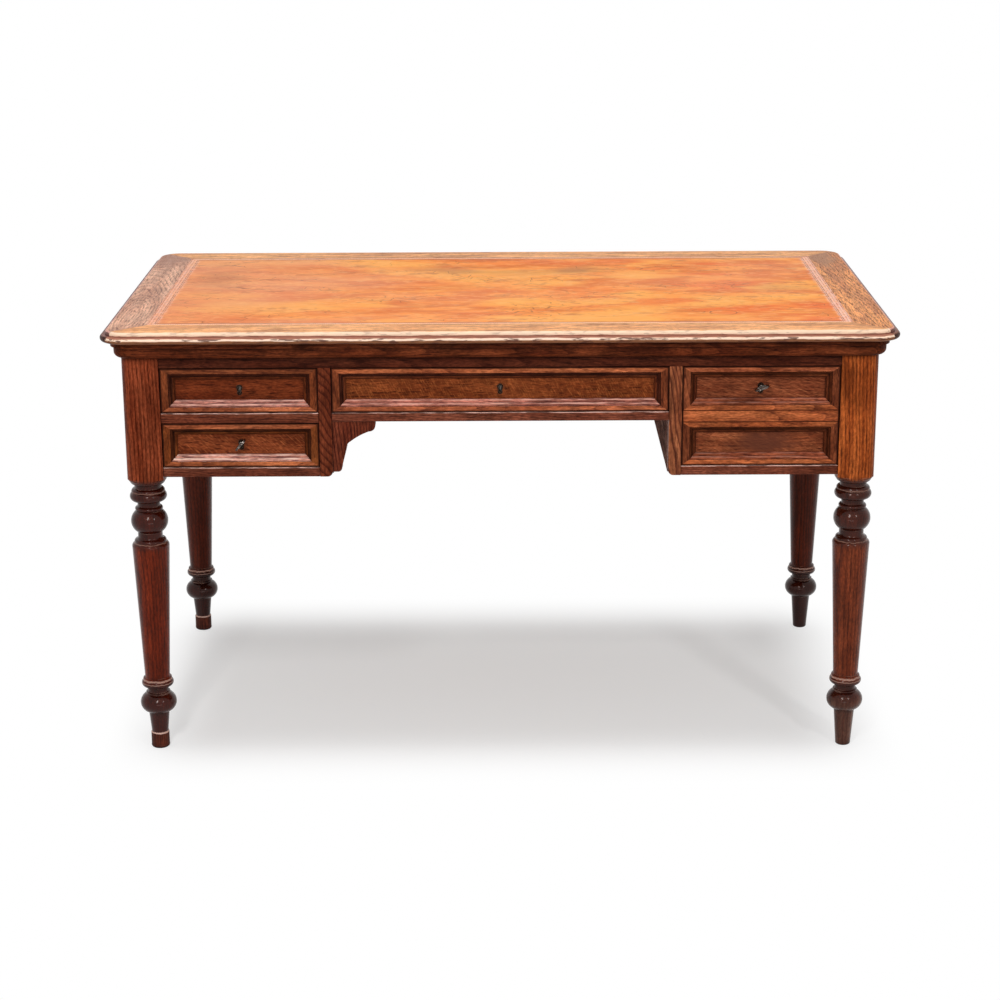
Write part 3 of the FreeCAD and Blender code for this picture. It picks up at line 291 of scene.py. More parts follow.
    dull = between(tree, z, *POST_FOOT, rough, POST_ROUGHNESS) if post else rough
    dull = calc(tree, "MULTIPLY_ADD", calc(tree, "ADD", hollow, rubbed), 0.2, dull)
    tree.links.new(dull, shader.inputs["Roughness"])
    relief = calc(tree, "ADD", product(tree, hollow, -0.7), product(tree, early, -0.25))
    add_relief(tree, shader, relief, 0.3, PORE_DEPTH)
    shader.inputs["Specular IOR Level"].default_value = sheen
    shader.inputs["Specular Tint"].default_value = (*sheen_tint, 1.0)
    shader.inputs["Coat Weight"].default_value = polish
    if post:
        waxed = product(tree, between(tree, z, *reversed(POST_FOOT)),
                        between(tree, on_rings, 0.0, 1.0, polish, RING_POLISH))
        tree.links.new(waxed, shader.inputs["Coat Weight"])
    shader.inputs["Coat Roughness"].default_value = WAX_ROUGHNESS
    return finish


def cover(node, finish):
    """Gives a CAD piece, which stays as it is, its finish."""
    nodes[node].data.materials.clear()
    nodes[node].data.materials.append(finish)


WORN_OAK = (0.50, 0.25, 0.16)
# The dark arris tone: old wax, and painted shade along the gaps between parts.
DARK_WAX_AND_GAP_SHADE = (0.045, 0.011, 0.006)
LEG_X, LEG_Y = 0.6045, 0.3055
# Pale lines round the rings: rubbed arrises, and on the bead and the taper's rim also painted highlight.
RUBBED_AND_LIT_RINGS = ((0.1300, 0.1272, 0.8, (0.62, 0.38, 0.30)), (0.1240, 0.1228, 0.5, (0.60, 0.36, 0.28)),
                (0.4735, 0.4720, 0.3, (0.50, 0.27, 0.20)), (0.3812, 0.3800, 0.4, (0.50, 0.27, 0.20)))
TIP_JOINT = ((0.0320, 0.0278, 0.9, (0.72, 0.46, 0.38)),)
# The right front foot's lighter brown is partly its own rubbed tone and partly a painted broad highlight.
DARK_FOOT, RUBBED_AND_LIT_FOOT = (0.020, 0.004, 0.003), (0.085, 0.032, 0.018)
BACK_TAPER, BACK_POST = (0.080, 0.010, 0.003), (0.122, 0.028, 0.011)
for side, hand, x, y, tone, post, foot in (
        ("front", "left", -LEG_X, -LEG_Y, (0.118, 0.0125, 0.003), (0.184, 0.033, 0.0115), DARK_FOOT),
        ("front", "right", LEG_X, -LEG_Y, (0.155, 0.028, 0.009), (0.350, 0.071, 0.014), RUBBED_AND_LIT_FOOT),
        ("back", "left", -LEG_X, LEG_Y, BACK_TAPER, BACK_POST, DARK_FOOT),
        ("back", "right", LEG_X, LEG_Y, BACK_TAPER, BACK_POST, DARK_FOOT)):
    cover(f"leg_{side}_{hand}", oak(
        f"turned_oak_{side}_{hand}", tone, (0.55, 0.30, 0.22), ring=0.0055, heart=(0.16, 0.11),
        lean=(0.01, 0.02), sway=0.006, figure=0.62, pores=0.7, wear=0.5, blotch=0.3, rough=0.18, sheen=0.12,
        sheen_tint=(1.0, 0.35, 0.20), polish=0.12, centre=(x, y), lips=RUBBED_AND_LIT_RINGS, post=post, foot=foot))
cover("foot_tips", oak("turned_oak_tips", (0.10, 0.020, 0.009), (1.0, 0.74, 0.62), pores=0.6, wear=0.9,
                       polish=0.14, centre=(0.0, 0.0), lips=TIP_JOINT))


# The carcass between the posts.
# Rails, stiles and panels of oak are framed round the drawers, with a row of runners inside that the
# drawers slide on. Only the front is polished with care; the back and ends are plain framed work.

def solids_of(node):
    """The closed solids that a CAD piece is made of, each as its points and its triangles."""
    mesh = nodes[node].data
    spots = np.empty(len(mesh.vertices) * 3)
    mesh.vertices.foreach_get("co", spots)
    points, same = np.unique(np.round(spots.reshape(-1, 3), 5), axis=0, return_inverse=True)
    same = same.reshape(-1)
    open_edges, triangles = set(), []
    for face in mesh.polygons:
        a, b, c = (int(same[v]) for v in face.vertices)
        if len({a, b, c}) < 3:
            continue
        triangles.append((a, b, c))
        for edge in ((a, b), (b, c), (c, a)):
            if edge[::-1] in open_edges:
                open_edges.remove(edge[::-1])
            else:
                open_edges.add(edge)
        if not open_edges:
            yield points, triangles
            triangles = []


SHARP_CORNER, ON_ARRIS = math.radians(35), 0.3
WORN_DIPS_PER_METRE, NICKS_PER_DIP, DEEPEST_BITE = 38, 3.1, 0.9


def board_mesh(points, triangles, along, arris, every, board):
    """One board: its arrises eased and rubbed uneven, and cut into short lengths along its grain."""
    piece = bmesh.new()
    corners = {}
    for triangle in triangles:
        for index in triangle:
            if index not in corners:
                corners[index] = piece.verts.new(points[index])
        piece.faces.new([corners[index] for index in triangle])
    bmesh.ops.dissolve_limit(piece, angle_limit=math.radians(0.5), verts=piece.verts[:],
                             edges=piece.edges[:])
    spots = np.array([v.co for v in piece.verts])
    low, high = spots.min(0), spots.max(0)
    order = np.argsort(low - high)
    if along is not None:
        order = np.array([along] + [axis for axis in order if axis != along])
    middle = (low + high) / 2
    if arris:
        sharp = [e for e in piece.edges
                 if len(e.link_faces) == 2 and e.calc_face_angle_signed(0) > SHARP_CORNER]
        bmesh.ops.bevel(piece, geom=sharp, offset=arris, offset_type="OFFSET", segments=2, profile=0.5,
                        affect="EDGES", clamp_overlap=True)
    if every:
        axis = Vector([float(i == order[0]) for i in range(3)])
        count = int((high - low)[order[0]] / every)
        for cut in range(1, count):
            place = middle + (cut / count - 0.5) * (high - low) * np.array(axis)
            bmesh.ops.bisect_plane(piece, geom=piece.verts[:] + piece.edges[:] + piece.faces[:],
                                   plane_co=place, plane_no=axis, dist=1e-6)
    if arris and every:
        piece.normal_update()
        for vert in piece.verts:
            faces = vert.link_faces
            if max(vert.normal.angle(f.normal, 0) for f in faces) > ON_ARRIS:
                spot = Vector(vert.co) * WORN_DIPS_PER_METRE + Vector((board * 50, 0, 0))
                dip, nick = noise.noise(spot), noise.noise(spot * NICKS_PER_DIP) - 0.35
                bite = max(0.0, dip) * 0.5 + max(0.0, nick) * 1.6
                vert.co -= vert.normal * min(bite, DEEPEST_BITE) * arris
    return piece, middle, order


def dress(node, finish, body="desk", along=None, arris=0.0009, every=0.008, choose=None):
    """Stands worn boards in place of a CAD piece. Their grain runs along that axis, or their own length."""
    chance = random.Random(node)
    spots, faces, grains, boards, kinds = [], [], [], [], []
    for points, triangles in solids_of(node):
        board = chance.random()
        piece, middle, order = board_mesh(points, triangles, along, arris, every, board)
        start = len(spots)
        piece.verts.index_update()
        for vert in piece.verts:
            spots.append(vert.co[:])
            grains.append([vert.co[axis] - middle[axis] for axis in order])
            boards.append(board)
        for face in piece.faces:
            faces.append([start + v.index for v in face.verts])
            kinds.append(choose(face.calc_center_median(), middle) if choose else 0)
        piece.free()
    mesh = bpy.data.meshes.new(node + "_wood")
    mesh.from_pydata(spots, [], faces)
    mesh.attributes.new("grain", "FLOAT_VECTOR", "POINT").data.foreach_set("vector", np.ravel(grains))
    mesh.attributes.new("board", "FLOAT", "POINT").data.foreach_set("value", boards)
    for material in finish if isinstance(finish, list) else [finish]:
        mesh.materials.append(material)
    mesh.polygons.foreach_set("material_index", kinds)
    mesh.shade_smooth()
    mesh.set_sharp_from_angle(angle=math.radians(50))
    rough = bpy.data.objects.new(node + "_rough", mesh)
    bpy.context.scene.collection.objects.link(rough)
    weights = rough.modifiers.new("shading", "WEIGHTED_NORMAL")
    weights.keep_sharp = True
    wood = bpy.data.objects.new(node + "_wood", plain_mesh(rough))
    bpy.data.objects.remove(rough)
    bpy.context.scene.collection.objects.link(wood)
    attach(wood, body)
    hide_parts(node)


def plain_mesh(thing):
    """The mesh that an object's modifiers make of it."""
    bpy.context.view_layer.update()
    graph = bpy.context.evaluated_depsgraph_get()
    return bpy.data.meshes.new_from_object(thing.evaluated_get(graph), preserve_all_data_layers=True,
                                           depsgraph=graph)


rail_oak = oak("carcass_oak_rail", (0.067, 0.0138, 0.0058), DARK_WAX_AND_GAP_SHADE, heart=(0.02, 0.09), figure=0.4,
               blotch=0.3)
side_oak = oak("carcass_oak_side", (0.135, 0.036, 0.018), WORN_OAK, figure=0.5)
# The kneehole sides are a pale greyish tone: their own oak, with a painted grazing reflection over it.
kneehole_oak_painted_sheen = oak("carcass_oak_kneehole_painted_sheen", (0.29, 0.155, 0.115), DARK_WAX_AND_GAP_SHADE, figure=0.6, blotch=0.5,
                   rough=0.8, sheen=0.0)
left_stile_oak = oak("carcass_oak_left_stile", (0.135, 0.026, 0.0095), DARK_WAX_AND_GAP_SHADE, ring=0.0125,
                     heart=(0.02, 0.30), lean=(0.05, 0.8), sway=0.022, figure=0.85, pores=0.3)
right_stile_oak = oak("carcass_oak_right_stile", (0.26, 0.073, 0.028), DARK_WAX_AND_GAP_SHADE, ring=0.006,
                      heart=(0.0, 0.02), lean=(0.02, 0.17), sway=0.010, figure=0.95, pores=0.5)
# Ledges: their upturned arrises are lightened in patches as scuffed bare wood and painted highlight.
SCUFFED_AND_LIT_LEDGE = dict(worn=DARK_WAX_AND_GAP_SHADE, wear=0.4, shelf=1.0, shelf_tone=(1.0, 0.62, 0.52))
ledge_oak = oak("carcass_oak_ledge", (0.150, 0.037, 0.018), figure=0.45, **SCUFFED_AND_LIT_LEDGE)
mid_ledge_oak = oak("carcass_oak_mid_ledge", (0.185, 0.044, 0.020), figure=0.5, **SCUFFED_AND_LIT_LEDGE)
bracket_oak = oak("carcass_oak_bracket", (0.135, 0.026, 0.011), WORN_OAK, ring=0.005, heart=(0.05, 0.03),
                  figure=0.8)
inner_oak = oak("plain_oak_inner", (0.43, 0.205, 0.095), (0.62, 0.44, 0.28), figure=0.45, pores=0.5,
                shade_and_dust_strength=0.6, rough=0.62, sheen=0.15)

dress("front_top_rail", rail_oak, along=0)
for node, finish in (("left_mid_rail", mid_ledge_oak), ("centre_rail", ledge_oak),
                     ("pedestal_bottom_rails", ledge_oak)):
    dress(node, finish, along=0, arris=0.0014)
dress("front_stiles", [left_stile_oak, right_stile_oak], along=2,
      choose=lambda centre, middle: int(middle[0] > 0))
dress("knee_bracket", bracket_oak, along=2)
for node, finish in (("kneehole_side_left", kneehole_oak_painted_sheen), ("kneehole_side_right", kneehole_oak_painted_sheen),
                     ("end_panel_left", side_oak), ("end_panel_right", side_oak)):
    dress(node, finish, along=1, every=0.02)
dress("back_frame", side_oak, every=0.012)
dress("back_panels", side_oak, along=0, every=0.03)
for node in ("drawer_runners", "drawer_kickers"):
    dress(node, inner_oak, along=1, every=0.03)


# The top and the moulding under it.
# Four solid oak boards with a stepped, rounded nose are mitred round a core that the leather is glued
# to. Sun and hands have bleached them to a light tan; the two steps are banded in bare cream wood that
# also stands as painted highlight, with painted shade under the noses.

TOP_LOOKS = dict(worn=WORN_OAK, wear=0.0, blotch=0.2, rough=0.34, sheen=0.06)
# Front nose: the cream bands are bare wood and painted highlight, the lowest dark band painted shade.
FRONT_LIPS = ((TABLE_TOP, 0.7538, 0.85, (0.98, 0.74, 0.55)), (0.7538, 0.7502, 0.95, (0.36, 0.145, 0.10)),
              (0.7502, 0.7468, 0.85, (1.0, 0.78, 0.62)), (0.7468, 0.73, 0.95, (0.23, 0.090, 0.045)))
# End noses: the lower bands darken toward the underside as painted shade.
END_LIPS = ((TABLE_TOP, 0.7578, 0.8, (0.75, 0.38, 0.33)), (0.7578, 0.7515, 0.9, (0.17, 0.075, 0.068)),
            (0.7515, 0.73, 0.97, (0.032, 0.011, 0.010)))
top_front_oak = oak("top_oak_front", (0.75, 0.305, 0.102), ring=0.004, heart=(0.05, 0.12),
                    lean=(0.01, 0.01), sway=0.006, figure=0.20, pores=0.7, speckle=0.16,
                    lips=FRONT_LIPS, **TOP_LOOKS)
top_left_oak = oak("top_oak_left", (0.56, 0.265, 0.155), ring=0.0052, heart=(0.0, 0.028), lean=(0.02, 0.16),
                   sway=0.013, figure=0.36, pores=0.7, speckle=0.15, lips=END_LIPS,
                   smoke=((-0.632, 0.34, TABLE_TOP), (0.10, 0.20, 0.1), (0.36, 0.165, 0.105)), **TOP_LOOKS)
top_right_oak = oak("top_oak_right", (0.67, 0.225, 0.055), ring=0.0045, heart=(0.06, 0.07), figure=0.45,
                    pores=1.0, speckle=0.2, lips=END_LIPS,
                    smoke=((0.615, 0.30, TABLE_TOP), (0.05, 0.16, 0.1), (0.34, 0.15, 0.07)), **TOP_LOOKS)
cornice_oak = oak("carcass_oak_cornice", (0.132, 0.026, 0.0080), DARK_WAX_AND_GAP_SHADE, figure=0.55, blotch=0.5)
for node, finish, along in (("top_front_rail", top_front_oak, 0), ("top_back_rail", top_front_oak, 0),
                            ("top_left_end", top_left_oak, 1), ("top_right_end", top_right_oak, 1)):
    dress(node, finish, along=along, arris=0.0007)
dress("cornice_moulding", cornice_oak, arris=0.0005)
dress("top_core_panel", inner_oak, along=0, arris=0.0, every=0.05)


# The leather writing surface.
# One hide is glued down flush inside the boards. Its border is tooled with three blind lines and a row
# of small stamped dots, and years of writing have left fine cracks, smudges and a ring on it.

LEATHER_X, LEATHER_Y, LEATHER_TOP, LEATHER_UNDER = 0.595, 0.300, 0.7595, 0.7584
BORDER_LINES = ((0.0015, 0.0025, 0.0002), (0.0120, 0.0132, 0.0003), (0.0150, 0.0158, 0.0002))
FRONT_STRIPES = ((-0.01, 0.0045, 0.85, (0.42, 0.17, 0.10)), (0.0045, 0.0130, 0.75, (0.95, 0.60, 0.42)),
                 (0.0130, 0.0180, 0.75, (0.45, 0.17, 0.09)))
RUBBED_SIDE = (0.92, 0.56, 0.44)
SMUDGES = (((-0.10, 0.176), (0.09, 0.05), 0.5), ((0.15, 0.170), (0.07, 0.06), 0.55),
           ((0.03, 0.150), (0.15, 0.04), 0.3), ((-0.52, 0.10), (0.07, 0.16), 0.35),
           ((0.50, 0.00), (0.09, 0.06), 0.25))
RING_SPOT, RING_REACH = (0.384, -0.215), (0.023, 0.019)
HIDE_DEEP, HIDE_TAN, HIDE_GOLD = (0.76, 0.180, 0.028), (0.96, 0.318, 0.060), (1.0, 0.425, 0.088)
HIDE_RUST, HIDE_PINK, HIDE_PALE = (0.84, 0.155, 0.026), (0.80, 0.31, 0.15), (1.0, 0.53, 0.22)
BROWN_SPOT, BROWN_STROKE, BROWN_SMUDGE = (0.44, 0.125, 0.045), (0.42, 0.090, 0.030), (0.36, 0.145, 0.07)
BROWN_CRACK, BROWN_RING, BROWN_LINE = (0.26, 0.075, 0.028), (0.30, 0.085, 0.03), (0.34, 0.13, 0.075)


def leather_finish():
    """Tan hide: streaked along the desk, pinker to the left, with smudges, cracks and rubbed tooling."""
    finish, tree, shader = new_finish("leather_tan")
    own = own_place(tree)
    x, y, _ = split(tree, own)
    soft = cloud(tree, own, (3, 7, 1), 3)
    wavy = vector(tree, "MULTIPLY_ADD", cloud(tree, own, (9, 14, 1), 2, 1), (0.03, 0.02, 0.0), own)
    streak = patches(tree, wavy, (9, 26, 1), 8, 0.38, 0.62)
    colour = tint(tree, streak, HIDE_DEEP, HIDE_TAN)
    golden = patches(tree, wavy, (3.5, 10, 1), 5, 0.46, 0.62, 0.0, 0.9)
    colour = tint(tree, golden, colour, HIDE_GOLD)
    rusty = product(tree, patches(tree, wavy, (5, 17, 3), 6, 0.49, 0.62, 0.0, 0.8),
                    between(tree, x, -0.1, 0.45, 0.35, 1.0))
    colour = tint(tree, rusty, colour, HIDE_RUST)
    leftward = between(tree, calc(tree, "MULTIPLY_ADD", soft, 0.5, x), 0.10, -0.25, 0.0, 0.55)
    colour = tint(tree, leftward, colour, HIDE_PINK)
    clustered = patches(tree, own, (6, 18, 1), 4, 0.42, 0.62, 0.15, 1.0)
    brown = patches(tree, wavy, (26, 60, 1), 9, 0.53, 0.66, 0.0, 0.45)
    colour = tint(tree, product(tree, brown, clustered), colour, BROWN_SPOT)
    strokes = patches(tree, wavy, (70, 260, 1), 6, 0.55, 0.64, 0.0, 0.5)
    colour = tint(tree, product(tree, strokes, clustered), colour, BROWN_STROKE)
    pale = patches(tree, wavy, (60, 150, 2), 7, 0.50, 0.68, 0.0, 0.32)
    colour = tint(tree, pale, colour, HIDE_PALE)
    for spot, reach, strength in SMUDGES:
        far = calc(tree, "ADD", reaches_off(tree, own, (*spot, 0.0), (*reach, math.inf)),
                   product(tree, cloud(tree, own, (14, 34, 1), 4), 1.3))
        colour = tint(tree, between(tree, far, 1.7, 0.7, 0.0, strength), colour, BROWN_SMUDGE)
    cells = put(tree, "ShaderNodeTexVoronoi", {"Vector": vector(tree, "MULTIPLY", wavy, (26, 60, 1)),
                                               "Scale": 1.0, "Randomness": 1.0},
                feature="DISTANCE_TO_EDGE").outputs[0]
    crack = product(tree, between(tree, cells, 0.035, 0.005), patches(tree, own, (8, 16, 1), 3, 0.54, 0.64))
    colour = tint(tree, product(tree, crack, 0.65), colour, BROWN_CRACK)
    ring = reaches_off(tree, own, (*RING_SPOT, 0.0), (*RING_REACH, math.inf))
    off_ring = calc(tree, "ABSOLUTE", calc(tree, "SUBTRACT", ring, 1.0))
    colour = tint(tree, between(tree, off_ring, 0.07, 0.02, 0.0, 0.6), colour, BROWN_RING)

    from_side = calc(tree, "SUBTRACT", LEATHER_X, calc(tree, "ABSOLUTE", x))
    from_front = calc(tree, "SUBTRACT", LEATHER_Y, calc(tree, "ABSOLUTE", y))
    inward = calc(tree, "MINIMUM", from_side, from_front)
    at_side = between(tree, calc(tree, "SUBTRACT", from_side, from_front), 0.001, -0.001)
    mottle = cloud(tree, own, (90, 90, 1), 5)
    ragged = calc(tree, "MULTIPLY_ADD", mottle, 0.016, inward)
    scuffs = patches(tree, own, (220, 220, 1), 4, 0.40, 0.60, 0.35, 0.95)
    band = product(tree, between(tree, ragged, 0.0300, 0.0200), between(tree, x, -0.5, 0.5, 0.75, 1.1),
                   at_side, scuffs)
    colour = tint(tree, band, colour, RUBBED_SIDE)
    ragged = calc(tree, "MULTIPLY_ADD", mottle, 0.004, from_front)
    for outer, inner, share, shade in FRONT_STRIPES:
        stripe = product(tree, between(tree, ragged, outer - 0.0008, outer + 0.0008, 0.0, share),
                         between(tree, ragged, inner + 0.0008, inner - 0.0008),
                         calc(tree, "SUBTRACT", 1.0, at_side))
        colour = tint(tree, stripe, colour, shade)
    broken = patches(tree, own, (60, 60, 1), 4, 0.38, 0.58, 0.25, 1.0)
    for start, end, _ in BORDER_LINES:
        line = product(tree, between(tree, inward, start - 0.0004, start + 0.0002),
                       between(tree, inward, end + 0.0004, end - 0.0002), broken)
        colour = tint(tree, line, colour, BROWN_LINE)
    tree.links.new(colour, shader.inputs["Base Color"])
    tree.links.new(between(tree, soft, 0.3, 0.7, 0.38, 0.52), shader.inputs["Roughness"])
    pebble = product(tree, cloud(tree, own, (700, 700, 700), 2), 0.35)
    add_relief(tree, shader, calc(tree, "ADD", pebble, product(tree, crack, -0.8)), 0.25, 0.0004)
    shader.inputs["Specular IOR Level"].default_value = 0.05
    return finish


HIDE_STEP, LINE_LIP, LINE_WALL = 0.006, 0.0003, 0.0002
SWELLS, RIPPLES, SETTLED_FROM = 0.00018, 0.00006, 0.02


def hide_lines(half):
    """Where the hide's mesh is divided from its middle to one side, finely across the tooled border."""
    fine = {0.0}
    for start, end, _ in BORDER_LINES:
        fine |= {start - LINE_LIP, start + LINE_WALL, end - LINE_WALL, end + LINE_LIP}
    edge = [half - f for f in sorted(fine)]
    inner = min(edge) - HIDE_STEP / 2
    count = int(2 * inner / HIDE_STEP)
    middle = [inner * (2 * i / count - 1) for i in range(count + 1)]
    return sorted([-e for e in edge] + middle + edge)


def hide_mesh():
    """The hide: pressed in along its tooled lines, and settled into slight swells away from its edge."""
    columns, rows = hide_lines(LEATHER_X), hide_lines(LEATHER_Y)
    spots, faces = [], []
    for y in rows:
        for x in columns:
            inward = min(LEATHER_X - abs(x), LEATHER_Y - abs(y))
            press = sum(depth for start, end, depth in BORDER_LINES if start < inward < end)
            settle = SWELLS * (1 + noise.noise(Vector((x * 7, y * 9, 2.0))))
            settle += RIPPLES * (1 + noise.noise(Vector((x * 60, y * 60, 5.0))))
            spots.append((x, y, LEATHER_TOP - press - settle * min(1.0, inward / SETTLED_FROM)))
    wide, deep = len(columns), len(rows)
    for j in range(deep - 1):
        for i in range(wide - 1):
            a = j * wide + i
            faces.append((a, a + 1, a + wide + 1, a + wide))
    rim = (list(range(wide)) + [j * wide + wide - 1 for j in range(1, deep)]
           + [(deep - 1) * wide + i for i in range(wide - 2, -1, -1)]
           + [j * wide for j in range(deep - 2, 0, -1)])
    under = len(spots)
    spots += [(spots[r][0], spots[r][1], LEATHER_UNDER) for r in rim]
    for i, r in enumerate(rim):
        after = (i + 1) % len(rim)
        faces.append((r, under + i, under + after, rim[after]))
    faces.append([under + i for i in reversed(range(len(rim)))])
    mesh = bpy.data.meshes.new("leather_hide")
    mesh.from_pydata(spots, [], faces)
    mesh.shade_smooth()
    mesh.set_sharp_from_angle(angle=math.radians(60))
    return mesh


def stand(name, mesh, finish, slot, body, *replaced):
    """Puts a finished mesh in the scene on the body it rides on, and hides the CAD pieces it stands in for.
    """
    mesh.materials.clear()
    mesh.materials.append(finish)
    thing = bpy.data.objects.new(name, mesh)
    bpy.context.scene.collection.objects.link(thing)
    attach(thing, body)
    if replaced:
        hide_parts(*replaced)


stand("leather_hide", hide_mesh(), leather_finish(), "leather", "desk", "leather_writing_surface")


def node_mesh(name, inputs, build):
    """The plain mesh that a node group makes, whose inputs are set to those values."""
    group = bpy.data.node_groups.new(name, "GeometryNodeTree")
    group.interface.new_socket("Geometry", in_out="OUTPUT", socket_type="NodeSocketGeometry")
    sockets = {label: group.interface.new_socket(label, in_out="INPUT", socket_type="NodeSocket" + kind)
               for label, (kind, value) in inputs.items()}
    result = build(group, put(group, "NodeGroupInput", {}).outputs)
    put(group, "NodeGroupOutput", {"Geometry": result})
    maker = bpy.data.objects.new(name, bpy.data.meshes.new(name))
    bpy.context.scene.collection.objects.link(maker)
    modifier = maker.modifiers.new(name, "NODES")
    modifier.node_group = group
    for label, (kind, value) in inputs.items():
        modifier[sockets[label].identifier] = value
    mesh = plain_mesh(maker)
    bpy.data.objects.remove(maker)
    return mesh


def dotted_border(group, given):
    """A row of small stamped dots that follows the hide's edge."""
    path = put(group, "GeometryNodeCurvePrimitiveQuadrilateral", {"Width": given["Width"],
                                                                  "Height": given["Depth"]})
    points = put(group, "GeometryNodeCurveToPoints", {"Curve": path.outputs[0], "Length": given["Spacing"]},
                 mode="LENGTH").outputs["Points"]
    dot = put(group, "GeometryNodeMeshCylinder", {"Vertices": 8, "Radius": given["Dot Radius"],
                                                  "Depth": 0.0004}).outputs["Mesh"]
    size = put(group, "FunctionNodeRandomValue", {"Min": 0.75, "Max": 1.15, "Seed": 11},
               data_type="FLOAT").outputs["Value"]
    row = put(group, "GeometryNodeInstanceOnPoints", {"Points": points, "Instance": dot,
                                                      "Scale": size}).outputs[0]
    whole = put(group, "GeometryNodeRealizeInstances", {"Geometry": row}).outputs[0]
    raised = put(group, "GeometryNodeTransform", {"Geometry": whole,
                                                  "Translation": given["Place"]}).outputs[0]
    return put(group, "GeometryNodeSetMaterial", {"Geometry": raised,
                                                  "Material": given["Material"]}).outputs[0]


DOTS_INWARD, DOTS_SUNK = 0.0072, 0.00022
stamped, tree, shader = new_finish("leather_stamped")
shader.inputs["Base Color"].default_value = (0.26, 0.085, 0.04, 1.0)
shader.inputs["Roughness"].default_value = 0.5
shader.inputs["Specular IOR Level"].default_value = 0.05
stand("leather_dots", node_mesh("stamped_dots", {
    "Width": ("Float", 2 * (LEATHER_X - DOTS_INWARD)), "Depth": ("Float", 2 * (LEATHER_Y - DOTS_INWARD)),
    "Spacing": ("Float", 0.0031), "Dot Radius": ("Float", 0.0006),
    "Place": ("Vector", (0.0, 0.0, LEATHER_TOP - DOTS_SUNK)), "Material": ("Material", stamped)},
    dotted_border), stamped, "leather", "desk")


# The drawers.
# Each is an oak box with a quarter-sawn front, and a mitred frame with a moulded edge is glued round
# the front's panel. The right one is a single deep drawer that is made to look like two.

def drawer_oak(name, tone, **changes):
    looks = dict(worn=DARK_WAX_AND_GAP_SHADE, figure=0.42, wear=0.35, dirt_reach=0.02)
    looks.update(changes)
    return oak("drawer_oak_" + name, tone, **looks)


panel_oak = {
    "left_upper": [drawer_oak("left_upper", (0.138, 0.0235, 0.0065), rays=0.1, figure=0.25, blotch=0.15)],
    "left_lower": [drawer_oak("left_lower", (0.145, 0.028, 0.0085), rays=0.6, ray_turn=0.75,
                              ray_size=(50, 520, 300), figure=0.28, blotch=0.2)],
    "centre": [drawer_oak("centre", (0.180, 0.036, 0.0090), rays=0.5, ray_turn=1.1, ray_size=(90, 560, 300),
                          figure=0.15, blotch=0.12)],
    "right": [drawer_oak("right_upper", (0.175, 0.040, 0.015), rays=0.5, ray_turn=0.35,
                         ray_size=(40, 700, 300), figure=0.3, blotch=0.2),
              drawer_oak("right_lower", (0.215, 0.052, 0.019), rays=0.25, ray_turn=0.5, figure=0.3,
                         smoke=((0.445, -0.324, 0.559), (0.085, 0.05, 0.028), (0.115, 0.034, 0.019)))],
}
# Its rubbed share and bare tone lighten that face in patches: scuffed bare wood, and painted highlight.
# The lower moulding is toned lighter than the rest of the frame, as painted light on its upturned face.
frame_looks = {
    "left_upper": dict(top=(0.215, 0.056, 0.020), low=(0.40, 0.102, 0.039), upright=(0.178, 0.040, 0.0125),
                       moulding=(0.42, 0.15, 0.105), rubbed=0.9, bare=(1.0, 0.58, 0.46)),
    "left_lower": dict(top=(0.39, 0.100, 0.037), low=(0.38, 0.096, 0.033), upright=(0.215, 0.052, 0.013),
                       moulding=(0.60, 0.24, 0.165), rubbed=1.0, bare=(1.0, 0.69, 0.56)),
    "centre": dict(top=(0.42, 0.106, 0.037), low=(0.38, 0.095, 0.036), upright=(0.200, 0.046, 0.016),
                   moulding=(0.42, 0.13, 0.085), rubbed=0.85, bare=(1.0, 0.54, 0.42)),
    "right": dict(top=(0.36, 0.092, 0.035), low=(0.38, 0.090, 0.028), upright=(0.185, 0.044, 0.016),
                  moulding=(0.26, 0.062, 0.026), rubbed=0.3, bare=(0.75, 0.36, 0.26)),
}
UPRIGHT_WIDTH, FLAT_WIDTH, SLOPE_WIDTH, NEAR_RIM = 0.013, 0.009, 0.0065, 0.03
LOWER_FIELD, UPPER_FIELD, DEEP_FRONT = 0.075, 0.0755, 0.1
FALSE_SEAMS, SEAMS_MIDDLE = (0.5965, 0.6165), 0.6065
TOP_FLAT, UPRIGHT, OUTER_SHADE, INNER_SHADE, LOW_FLAT, LIT_MOULDING = range(6)


def frame_part(low, high):
    """Sorts a frame's faces: level flats, upright flats, and the moulding in shade and in light."""
    fields = [(low[2], high[2])]
    if high[2] - low[2] > DEEP_FRONT:
        fields = [(low[2], low[2] + LOWER_FIELD), (high[2] - UPPER_FIELD, high[2])]

    def part(centre, middle):
        side = min(centre[0] - low[0], high[0] - centre[0]) - UPRIGHT_WIDTH
        for bottom, top in fields:
            over, under = top - centre[2] - FLAT_WIDTH, centre[2] - bottom - FLAT_WIDTH
            if min(side, over, under) > 0:
                if under < min(side, over):
                    return LIT_MOULDING
                return OUTER_SHADE if min(side, over) < SLOPE_WIDTH else INNER_SHADE
        if min(middle[0] - low[0], high[0] - middle[0]) < NEAR_RIM:
            return UPRIGHT
        return TOP_FLAT if high[2] - middle[2] < NEAR_RIM else LOW_FLAT
    return part


def front_part(centre, middle):
    """The right drawer's panel is of two woods, parted half-way between its seams."""
    return int(centre[2] < SEAMS_MIDDLE)


